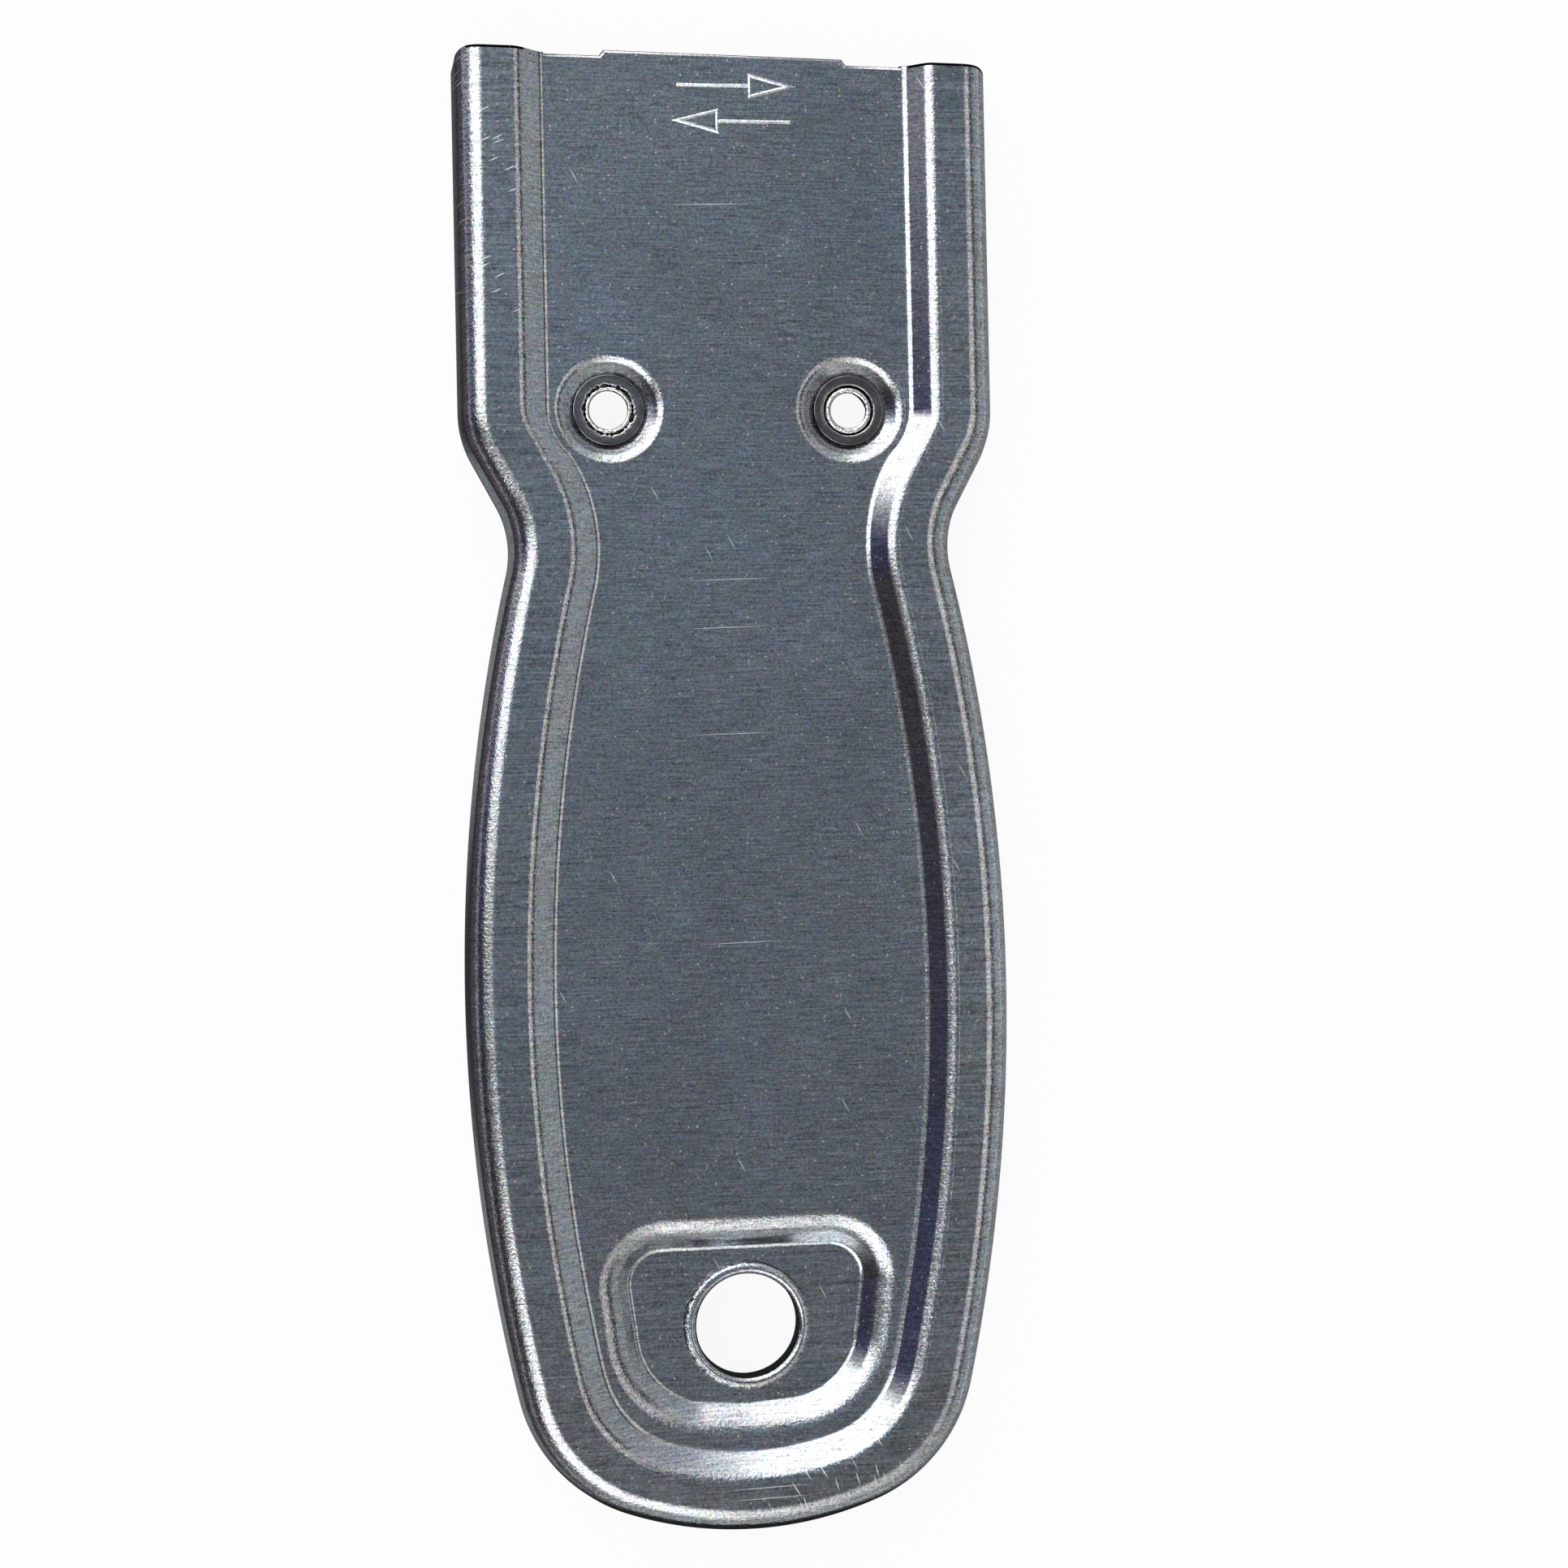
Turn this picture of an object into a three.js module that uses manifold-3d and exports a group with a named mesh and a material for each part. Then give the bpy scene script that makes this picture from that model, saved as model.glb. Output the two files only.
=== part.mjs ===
// Retractable razor scraper: two stamped steel half shells eyeleted together, with a blade
// carriage that slides out of the mouth and is locked by a leaf spring under a thumb button.
// Millimetres. X across, Y along the tool with the blade end at +Y, Z up through the front face.
// The origin is the centre of the footprint, on the plane that the back face lies on.

import * as THREE from 'three';
import { mergeVertices } from 'three/addons/utils/BufferGeometryUtils.js';
import Module from 'manifold-3d';

const wasm = await Module();
wasm.setup();

// Outline of the handle, seen from the front
const overallLength = 113.4;
const headHalfWidth = 20.75;
const neckHalfWidth = 17.12;
const handleHalfWidth = 21.05;
const neckFromMouth = 38.1;
const neckRadius = 7.4;
const widestShare = 0.5525;
const shoulderRadius = 8;
const shoulderAngle = THREE.MathUtils.degToRad(28.2);
const tailCornerRadius = 12.5;
const tailRadius = 28;
const mouthCornerRadius = 1.2;

// Sheet of the two half shells and how it is drawn
const sheet = 0.7;
const gap = 0.3;
const wallDraft = THREE.MathUtils.degToRad(6);
const rimBendRadius = 2.1;
const landInnerOffset = 4.4;
const tailLandWidth = 4.25;
const landCornerRadius = 9.5;
const landTailRadius = 24;
const panelDrop = 1.4;
const panelBend = { outer: 1.65, inner: 0.55, angle: THREE.MathUtils.degToRad(45) };
const panelSetback = 0.45;
const tongueHalfWidth = 9.4;
const tongueSetback = 0.15;

// Blade, its folded spine, and the carriage that holds them
const bladeLength = 38.1;
const bladeWidth = 19.05;
const bladeThickness = 0.23;
const bladeGroundWidth = 1.1;
const bladeNotchDepth = 1.3;
const bladeNotchWidth = 3.2;
const bladeTuck = 1.0;
const spineWidth = 5.3;
const spineThickness = 1.0;
const spineWall = 0.3;
const carriageSheet = 0.5;
const stemHalfWidth = 4.7;
const stemShoulder = 6;
const travelToWork = 12;
const travelToChange = 21;

// Inner faces of the two panels stand this far apart
const cavityDepth = spineThickness + 2 * carriageSheet + 4 * gap;
const bossGap = gap;
const panelTop = cavityDepth / 2 + sheet;
const landTop = panelTop + panelDrop;
const wallFoot = gap / 2;
const bossDrop = (cavityDepth - bossGap) / 2;

// Eyelets and the round bosses that they are set in
const bossX = 9.4;
const bossFromMouth = 27.5;
const bossY = overallLength / 2 - bossFromMouth;
const bossRadius = 4.25;
const bossBend = { outer: 0.9, inner: 0.3, angle: THREE.MathUtils.degToRad(60) };
const eyeletBore = 1.4;
const eyeletWall = 0.4;
const eyeletFlangeRadius = 2.78;
const eyeletFlangeHeight = 0.5;

// Hang hole, its rolled collar and the shield-shaped recess around it
const holeFromTail = 15.7;
const holeY = holeFromTail - overallLength / 2;
const holeRadius = 3.95;
const collarWall = 0.4;
const collarLipRadius = 4.9;
const collarLipHeight = 0.35;
const collarRootBend = 0.6;
const recessBend = { outer: 2.1, inner: 0.5, angle: THREE.MathUtils.degToRad(42) };
const recessAboveHole = 5.8;
const recessBelowHole = 5.35;
const recessTopHalfWidth = 9.15;
const recessBottomHalfWidth = 7.7;
const recessTopCorner = 2.4;
const recessBottomCorner = 5.4;
const recessBelly = 0.5;

// Thumb button, its slot in the back shell and the lock spring
const buttonFromTail = 48.7;
const buttonY = buttonFromTail - overallLength / 2;
const buttonLength = 14;
const buttonHalfWidth = 3.2;
const buttonProud = 1.0;
const buttonCorner = 2.2;
const flangeMargin = 1.5;
const flangeThickness = 0.4;
const ribCount = 5;
const ribDepth = 0.35;
const ribWidth = 1.1;
const springSheet = 0.3;
const springHalfWidth = 2.4;
const springReach = 5;
const springTail = 7;
const tabLength = 2.8;
const tabRise = 1.9;
const earHalfWidth = 0.7;
const rivetRadius = 0.9;
const rivetHeadRadius = 1.9;
const rivetHeadHeight = 0.5;

// Facets in the bends and round features
const arcSteps = { shoulder: 4, neck: 5, handle: 9, tailCorner: 6, tail: 4, corner: 4 };
const bendSteps = 3;
const smallBendSteps = 2;
const roundSegments = 32;
const smallRoundSegments = 24;

// How far cutters run past what they cut, and how near two corners are one
const overrun = 2;
const weldDistance = 1e-5;

// Shares of the sizes above, for small rounded shapes
const rollShare = 0.25;
const spineFoldShare = 0.25;
const edgeFlatShare = 0.125;
const rivetCrownShare = 0.6;
const rivetEdgeShare = 0.33;
const flareShares = { side: 0.5, back: 0.25 };
const bellyShare = 0.5;

const steel = { color: 0x868c94, roughness: 0.35, metalness: 0.9 };
const springSteel = { color: 0x5d6066, roughness: 0.4, metalness: 0.9 };
const bladeSteel = { color: 0xb4b8bc, roughness: 0.22, metalness: 1.0 };
const plating = { color: 0xa9aaa8, roughness: 0.3, metalness: 1.0 };
const nylon = { color: 0x1d1e20, roughness: 0.6, metalness: 0.0 };

// Closed mesh to solid and back

function solid(geometry) {
  const bare = geometry.index ? geometry.toNonIndexed() : geometry.clone();
  bare.deleteAttribute('normal');
  bare.deleteAttribute('uv');
  const merged = mergeVertices(bare, weldDistance);
  return new wasm.Manifold(new wasm.Mesh({
    numProp: 3,
    vertProperties: new Float32Array(merged.attributes.position.array),
    triVerts: new Uint32Array(merged.index.array),
  }));
}

function geometryOf(manifold) {
  const mesh = manifold.getMesh();
  const geometry = new THREE.BufferGeometry();
  geometry.setAttribute('position', new THREE.BufferAttribute(mesh.vertProperties, 3));
  geometry.setIndex(new THREE.BufferAttribute(mesh.triVerts, 1));
  geometry.computeVertexNormals();
  return geometry;
}

// Box between two corners
function block(low, high) {
  const size = high.map((value, axis) => value - low[axis]);
  const geometry = new THREE.BoxGeometry(...size);
  geometry.translate(...high.map((value, axis) => (value + low[axis]) / 2));
  return solid(geometry);
}

// Flat outline in X and Y, raised from one height to another
function plate(points, low, high) {
  const geometry = new THREE.ExtrudeGeometry(new THREE.Shape(points), {
    depth: high - low, bevelEnabled: false,
  });
  geometry.translate(0, 0, low);
  return solid(geometry);
}

// Section in Y and Z, drawn across the tool from one X to another
function section(points, left, right) {
  const geometry = new THREE.ExtrudeGeometry(new THREE.Shape(points), {
    depth: right - left, bevelEnabled: false,
  });
  geometry.applyMatrix4(new THREE.Matrix4().set(0, 0, 1, left, 1, 0, 0, 0, 0, 1, 0, 0, 0, 0, 0, 1));
  return solid(geometry);
}

// Closed profile of [radius, height] pairs turned about a vertical axis
function turned(profile, x, y, segments = roundSegments) {
  const points = profile.map(([radius, height]) => new THREE.Vector2(radius, height));
  if (THREE.ShapeUtils.isClockWise(points)) points.reverse();
  const geometry = new THREE.LatheGeometry([...points, points[0].clone()], segments);
  geometry.rotateX(Math.PI / 2);
  geometry.translate(x, y, 0);
  return solid(geometry);
}

// Outlines are lists of { point, normal }, so that a parallel line is one sum away. A negative
// radius bends the outline inwards, with the centre outside.

function arc(center, radius, from, to, steps) {
  const samples = [];
  for (let i = 0; i <= steps; i += 1) {
    const angle = THREE.MathUtils.lerp(from, to, i / steps);
    const direction = new THREE.Vector2(Math.cos(angle), Math.sin(angle));
    samples.push({ point: center.clone().addScaledVector(direction, radius), normal: direction });
  }
  return samples;
}

// The blank, and the line inside it where the land ends and the step to the panel begins: at an
// even distance along the sides, with a shape of its own round the tail
const neckY = overallLength / 2 - neckFromMouth;
const widestY = THREE.MathUtils.lerp(-overallLength / 2, neckY, widestShare);
const blank = {
  head: headHalfWidth,
  neck: neckHalfWidth,
  handle: handleHalfWidth,
  shoulderBend: shoulderRadius,
  neckBend: neckRadius,
  cornerBend: tailCornerRadius,
  tailBend: tailRadius,
  tailY: -overallLength / 2,
};
const landEdge = {
  head: headHalfWidth - landInnerOffset,
  neck: neckHalfWidth - landInnerOffset,
  handle: handleHalfWidth - landInnerOffset,
  shoulderBend: shoulderRadius - landInnerOffset,
  neckBend: neckRadius + landInnerOffset,
  cornerBend: landCornerRadius,
  tailBend: landTailRadius,
  tailY: tailLandWidth - overallLength / 2,
};

// Right half from the mouth to the tail: straight head, shoulder, waist, long belly, tail. The
// belly is one arc, widest at widestY, that runs on smoothly from the arc of the neck.
function rightSide(shape, mouthY) {
  const neckCenter = new THREE.Vector2(shape.neck + shape.neckBend, neckY);
  const across = neckCenter.x - shape.handle;
  const along = neckY - widestY;
  const belly = (across ** 2 + along ** 2 - shape.neckBend ** 2) / (2 * (shape.neckBend - across));
  const bellyCenter = new THREE.Vector2(shape.handle - belly, widestY);
  const neckAngle = neckCenter.clone().sub(bellyCenter).angle();

  const facing = new THREE.Vector2(Math.cos(-shoulderAngle), Math.sin(-shoulderAngle));
  const diagonal = neckCenter.dot(facing) - shape.neckBend;
  const shoulderX = shape.head - shape.shoulderBend;
  const shoulderY = (diagonal - shape.shoulderBend - shoulderX * facing.x) / facing.y;
  const shoulderCenter = new THREE.Vector2(shoulderX, shoulderY);

  const tailCenter = new THREE.Vector2(0, shape.tailY + shape.tailBend);
  const cornerCenter = meeting(
    bellyCenter, belly - shape.cornerBend,
    tailCenter, shape.tailBend - shape.cornerBend,
  );
  const bellyEnd = cornerCenter.clone().sub(bellyCenter).angle() - 2 * Math.PI;
  const cornerEnd = cornerCenter.clone().sub(tailCenter).angle() - 2 * Math.PI;

  return [
    { point: new THREE.Vector2(shape.head, mouthY), normal: new THREE.Vector2(1, 1) },
    ...arc(shoulderCenter, shape.shoulderBend, 0, -shoulderAngle, arcSteps.shoulder),
    ...arc(neckCenter, -shape.neckBend, -shoulderAngle, neckAngle, arcSteps.neck),
    ...arc(bellyCenter, belly, neckAngle, bellyEnd, arcSteps.handle).slice(1),
    ...arc(cornerCenter, shape.cornerBend, bellyEnd, cornerEnd, arcSteps.tailCorner).slice(1),
    ...arc(tailCenter, shape.tailBend, cornerEnd, -Math.PI / 2, arcSteps.tail).slice(1),
  ];
}

// Where two circles cross, on the right-hand and lower side
function meeting(centerA, radiusA, centerB, radiusB) {
  const between = centerB.clone().sub(centerA);
  const distance = between.length();
  const along = (radiusA ** 2 - radiusB ** 2 + distance ** 2) / (2 * distance);
  const aside = Math.sqrt(radiusA ** 2 - along ** 2);
  const unit = between.divideScalar(distance);
  const candidates = [1, -1].map((sign) => centerA.clone()
    .addScaledVector(unit, along)
    .addScaledVector(new THREE.Vector2(-unit.y, unit.x), sign * aside));
  return candidates.sort((a, b) => a.y - b.y)[0];
}

// The whole outline, counter-clockwise seen from the front
function wholeOutline(shape, mouthY) {
  const right = rightSide(shape, mouthY);
  const left = right.slice(0, -1).map(({ point, normal }) => ({
    point: new THREE.Vector2(-point.x, point.y),
    normal: new THREE.Vector2(-normal.x, normal.y),
  }));
  return [...right.reverse(), ...left];
}

// Polygon with rounded corners, counter-clockwise; each corner is { x, y, r }
function roundedOutline(corners, steps) {
  return corners.flatMap((corner, i) => {
    const here = new THREE.Vector2(corner.x, corner.y);
    const before = corners[(i + corners.length - 1) % corners.length];
    const after = corners[(i + 1) % corners.length];
    const arriving = here.clone().sub(new THREE.Vector2(before.x, before.y)).normalize();
    const leaving = new THREE.Vector2(after.x, after.y).sub(here).normalize();
    const turn = Math.atan2(arriving.cross(leaving), arriving.dot(leaving));
    const setback = corner.r * Math.tan(turn / 2);
    const start = here.clone().addScaledVector(arriving, -setback);
    const inwards = new THREE.Vector2(-arriving.y, arriving.x);
    const center = start.clone().addScaledVector(inwards, corner.r);
    const from = Math.atan2(-inwards.y, -inwards.x);
    return arc(center, corner.r, from, from + turn, steps);
  });
}

function ringAt(outline, inset, height) {
  return outline.map(({ point, normal }) => new THREE.Vector3(
    point.x - normal.x * inset,
    point.y - normal.y * inset,
    height,
  ));
}

// Solid through a stack of rings with equal counts, closed flat at both ends
function loft(rings) {
  const count = rings[0].length;
  const positions = rings.flat().flatMap((v) => [v.x, v.y, v.z]);
  const index = [];
  for (let level = 0; level < rings.length - 1; level += 1) {
    for (let i = 0; i < count; i += 1) {
      const a = level * count + i;
      const b = level * count + (i + 1) % count;
      index.push(a, b, b + count);
      index.push(a, b + count, a + count);
    }
  }
  const last = (rings.length - 1) * count;
  const flat = (ring) => ring.map((v) => new THREE.Vector2(v.x, v.y));
  for (const [a, b, c] of THREE.ShapeUtils.triangulateShape(flat(rings[0]), [])) {
    index.push(c, b, a);
  }
  for (const [a, b, c] of THREE.ShapeUtils.triangulateShape(flat(rings.at(-1)), [])) {
    index.push(last + a, last + b, last + c);
  }
  const geometry = new THREE.BufferGeometry();
  geometry.setAttribute('position', new THREE.Float32BufferAttribute(positions, 3));
  geometry.setIndex(index);
  return solid(geometry);
}

// Section of a step pressed down into flat sheet, as [inset, height] pairs from its upper edge
// inwards. depth is how far under the top skin of the sheet the surface lies.
function pressedStep(top, drop, bend, depth, steps) {
  const rise = 1 - Math.cos(bend.angle);
  const straight = (drop - (bend.outer + bend.inner) * rise) / Math.tan(bend.angle);
  const run = straight + (bend.outer + bend.inner) * Math.sin(bend.angle);
  const pairs = [];
  for (let i = 0; i <= steps; i += 1) {
    const angle = bend.angle * i / steps;
    const radius = bend.outer - depth;
    pairs.push([radius * Math.sin(angle), top - bend.outer + radius * Math.cos(angle)]);
  }
  for (let i = steps; i >= 0; i -= 1) {
    const angle = bend.angle * i / steps;
    const radius = bend.inner + depth;
    pairs.push([run - radius * Math.sin(angle), top - drop + bend.inner - radius * Math.cos(angle)]);
  }
  return pairs;
}

const stepRun = (drop, bend) => pressedStep(0, drop, bend, 0, 1).at(-1)[0];

// Section of the rim from the foot of the wall, over the bend, to the start of the land
function rimSection(depth) {
  const bendCenterZ = landTop - rimBendRadius;
  const wallTopZ = bendCenterZ + rimBendRadius * Math.sin(wallDraft);
  const wallTopInset = (wallTopZ - wallFoot) * Math.tan(wallDraft);
  const bendCenterInset = wallTopInset + rimBendRadius * Math.cos(wallDraft);
  const radius = rimBendRadius - depth;
  const pairs = [[depth / Math.cos(wallDraft), wallFoot]];
  for (let i = 0; i <= bendSteps; i += 1) {
    const angle = THREE.MathUtils.lerp(wallDraft, Math.PI / 2, i / bendSteps);
    pairs.push([bendCenterInset - radius * Math.cos(angle), bendCenterZ + radius * Math.sin(angle)]);
  }
  return pairs;
}

// Filled body under one skin of a half shell: depth 0 is the outer skin, sheet the inner one
function skinBody(depth) {
  const run = stepRun(panelDrop, panelBend);
  const mouthY = overallLength / 2 + landInnerOffset + run + overrun + depth * 2;
  const outline = wholeOutline(blank, mouthY);
  const stepOutline = wholeOutline(landEdge, mouthY - landInnerOffset);
  const rim = rimSection(depth);
  const step = pressedStep(landTop, panelDrop, panelBend, depth, smallBendSteps);
  const base = depth > 0 ? [ringAt(outline, rim[0][0], wallFoot - overrun)] : [];
  let body = loft([
    ...base,
    ...rim.map(([inset, height]) => ringAt(outline, inset, height)),
    ...step.map(([inset, height]) => ringAt(stepOutline, inset, height)),
  ]);
  for (const side of [-1, 1]) {
    body = body.subtract(bossPocket(side * bossX, depth));
  }
  return body.subtract(recessPocket(depth));
}

// Space above a boss, from its floor up past the panel
function bossPocket(x, depth) {
  const wall = pressedStep(panelTop, bossDrop, bossBend, depth, smallBendSteps);
  const profile = wall.map(([inset, height]) => [bossRadius - inset, height]).reverse();
  const floor = profile[0][1];
  return turned(
    [[0, floor], ...profile, [bossRadius, landTop], [0, landTop]],
    x, bossY, smallRoundSegments,
  );
}

// Shield-shaped recess around the hang hole: flat top, sides drawn in, rounded belly
function recessOutline() {
  const topY = holeY + recessAboveHole;
  const bottomY = holeY - recessBelowHole;
  return roundedOutline([
    { x: recessTopHalfWidth, y: topY, r: recessTopCorner },
    { x: -recessTopHalfWidth, y: topY, r: recessTopCorner },
    { x: -recessBottomHalfWidth, y: bottomY, r: recessBottomCorner },
    { x: 0, y: bottomY - recessBelly, r: tailRadius * bellyShare },
    { x: recessBottomHalfWidth, y: bottomY, r: recessBottomCorner },
  ], arcSteps.corner);
}

function recessPocket(depth) {
  const floorOutline = recessOutline();
  const run = stepRun(bossDrop, recessBend);
  const wall = pressedStep(panelTop, bossDrop, recessBend, depth, bendSteps).reverse();
  const rings = wall.map(([inset, height]) => ringAt(floorOutline, inset - run, height));
  return loft([...rings, ringAt(floorOutline, -run, landTop)]);
}

// One pressed half, lying with its land up and its open side down, mid-plane at zero
function halfShell() {
  const mouth = overallLength / 2;
  const wide = headHalfWidth + overrun;
  const high = landTop + overrun;
  const panelHalfWidth = headHalfWidth - landInnerOffset - stepRun(panelDrop, panelBend);
  let half = skinBody(0).subtract(skinBody(sheet));
  half = half.subtract(block([-wide, mouth, -overrun], [wide, mouth + wide, high]));
  half = half.subtract(mouthCorners());
  for (const side of [-1, 1]) {
    const [low, far] = [side * tongueHalfWidth, side * panelHalfWidth].sort((a, b) => a - b);
    half = half.subtract(block([low, mouth - panelSetback, -overrun], [far, mouth + overrun, high]));
  }
  return half.subtract(block(
    [-tongueHalfWidth - gap, mouth - tongueSetback, -overrun],
    [tongueHalfWidth + gap, mouth + overrun, high],
  ));
}

// Waste outside the two rounded corners of the mouth
function mouthCorners() {
  const waste = [-1, 1].map((side) => {
    const center = new THREE.Vector2(
      side * (headHalfWidth - mouthCornerRadius),
      overallLength / 2 - mouthCornerRadius,
    );
    const square = block(
      [Math.min(center.x, center.x + side * overrun * 2), center.y, -overrun],
      [Math.max(center.x, center.x + side * overrun * 2), center.y + overrun * 2, landTop + overrun],
    );
    const round = turned(
      [[0, -overrun * 2], [mouthCornerRadius, -overrun * 2],
        [mouthCornerRadius, landTop + overrun * 2], [0, landTop + overrun * 2]],
      center.x, center.y,
    );
    return square.subtract(round);
  });
  return waste[0].add(waste[1]);
}

function roundCutter(x, y, radius) {
  const low = -landTop - overrun;
  const high = landTop + overrun;
  return turned([[0, low], [radius, low], [radius, high], [0, high]], x, y);
}

const drilled = (body) => body
  .subtract(roundCutter(-bossX, bossY, eyeletBore + eyeletWall + gap))
  .subtract(roundCutter(bossX, bossY, eyeletBore + eyeletWall + gap));

function frontShell(half) {
  return drilled(half).subtract(roundCutter(0, holeY, holeRadius + collarWall + gap));
}

// Back half: the same pressing turned over, with the button slot, three pairs of lock
// notches, and the collar that is drawn up through the front half and rolled over it
function backShell(half) {
  let back = drilled(half.rotate([0, 180, 0]));
  back = back.subtract(roundCutter(0, holeY, holeRadius + collarRootBend));
  back = back.subtract(slotCutter());
  return back.add(collar());
}

function slotCutter() {
  const low = -panelTop - overrun;
  const high = -wallFoot;
  const half = buttonLength / 2 + gap;
  const slot = roundedOutline([
    { x: buttonHalfWidth + gap, y: buttonY + travelToChange + half, r: buttonCorner + gap },
    { x: -buttonHalfWidth - gap, y: buttonY + travelToChange + half, r: buttonCorner + gap },
    { x: -buttonHalfWidth - gap, y: buttonY - half, r: buttonCorner + gap },
    { x: buttonHalfWidth + gap, y: buttonY - half, r: buttonCorner + gap },
  ], arcSteps.corner);
  let cutter = plate(slot.map(({ point }) => point), low, high);
  const notchX = tabOuterX() + gap;
  const notchY = tabLength / 2 + gap;
  for (const travel of [0, travelToWork, travelToChange]) {
    const y = buttonY + travel;
    cutter = cutter.add(block([-notchX, y - notchY, low], [notchX, y + notchY, high]));
  }
  return cutter;
}

function collar() {
  const floorLow = -wallFoot - sheet;
  const lipLow = wallFoot + sheet + gap;
  const lipTop = lipLow + collarLipHeight;
  const outer = holeRadius + collarWall;
  const root = holeRadius + collarRootBend;
  const rootArc = [];
  for (let i = 0; i <= bendSteps; i += 1) {
    const angle = Math.PI / 2 * i / bendSteps;
    rootArc.push([
      root - collarRootBend * Math.sin(angle),
      floorLow + collarRootBend * (1 - Math.cos(angle)),
    ]);
  }
  return turned([
    [root + collarWall, floorLow],
    ...rootArc,
    [holeRadius, lipTop - collarLipHeight],
    [holeRadius + collarLipHeight / 2, lipTop - collarLipHeight * rollShare],
    [outer, lipTop],
    [collarLipRadius - collarLipHeight / 2, lipTop],
    [collarLipRadius, lipTop - collarLipHeight / 2],
    [collarLipRadius - collarLipHeight * rollShare, lipLow],
    [outer, lipLow],
    [outer, -wallFoot],
    [root + collarWall, -wallFoot],
  ], 0, holeY);
}

// Eyelet: a thin barrel with a rounded flange set over each boss floor
function eyelet(x) {
  const outer = eyeletBore + eyeletWall;
  const seat = wallFoot + sheet + gap;
  const top = seat + eyeletFlangeHeight;
  const shoulder = eyeletFlangeHeight / 2;
  const half = [
    [eyeletBore, top - shoulder],
    [eyeletBore + shoulder / 2, top - shoulder * rollShare],
    [outer, top],
    [eyeletFlangeRadius - shoulder, top - shoulder * rollShare],
    [eyeletFlangeRadius, seat + shoulder / 2],
    [eyeletFlangeRadius - shoulder / 2, seat],
    [outer, seat],
  ];
  const mirrored = half.map(([radius, height]) => [radius, -height]).reverse();
  return turned([...half, ...mirrored], x, bossY, smallRoundSegments);
}

// Places along the tool, carriage drawn back
const edgeY = overallLength / 2 - bladeTuck;
const spineBackY = edgeY - bladeWidth;
const spineFrontY = spineBackY + spineWidth;
const flangeHalfLength = buttonLength / 2 + flangeMargin;
const rivetY = buttonY - flangeHalfLength - springReach;
const stemEndY = rivetY - springTail / 2;
const stemLow = spineThickness / 2 + gap;
const stemHigh = stemLow + carriageSheet;
const flangeLow = gap - cavityDepth / 2;
const flangeHigh = flangeLow + flangeThickness;
const flangeHalfWidth = buttonHalfWidth + flangeMargin - gap / 2;

function tabOuterX() {
  return buttonHalfWidth + flangeMargin + springSheet + gap;
}

// Folded spine cap over the back edge of the blade
function bladeSpine() {
  const half = spineThickness / 2;
  const slot = half - spineWall;
  const fold = spineThickness * spineFoldShare;
  const points = [
    [spineFrontY, slot], [spineFrontY, half], [spineBackY + fold, half],
    [spineBackY, half - fold], [spineBackY, fold - half], [spineBackY + fold, -half],
    [spineFrontY, -half], [spineFrontY, -slot], [spineBackY + spineWall, -slot],
    [spineBackY + spineWall, slot],
  ].map(([y, z]) => new THREE.Vector2(y, z)).reverse();
  return section(points, -bladeLength / 2, bladeLength / 2);
}

// Single-edge blade, ground on both faces, with the two registering notches at its ends
function razorBlade() {
  const half = bladeThickness / 2;
  const edge = half * edgeFlatShare;
  const back = spineBackY + 2 * spineWall;
  const points = [
    [back, -half], [edgeY - bladeGroundWidth, -half], [edgeY, -edge], [edgeY, edge],
    [edgeY - bladeGroundWidth, half], [back, half],
  ].map(([y, z]) => new THREE.Vector2(y, z));
  let blade = section(points, -bladeLength / 2, bladeLength / 2);
  for (const side of [-1, 1]) {
    const xs = [side * (bladeLength / 2 - bladeNotchDepth), side * (bladeLength / 2 + overrun)];
    const notchY = spineFrontY + bladeNotchDepth;
    blade = blade.subtract(block(
      [Math.min(...xs), notchY, -half - overrun],
      [Math.max(...xs), notchY + bladeNotchWidth, half + overrun],
    ));
  }
  return blade;
}

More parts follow.
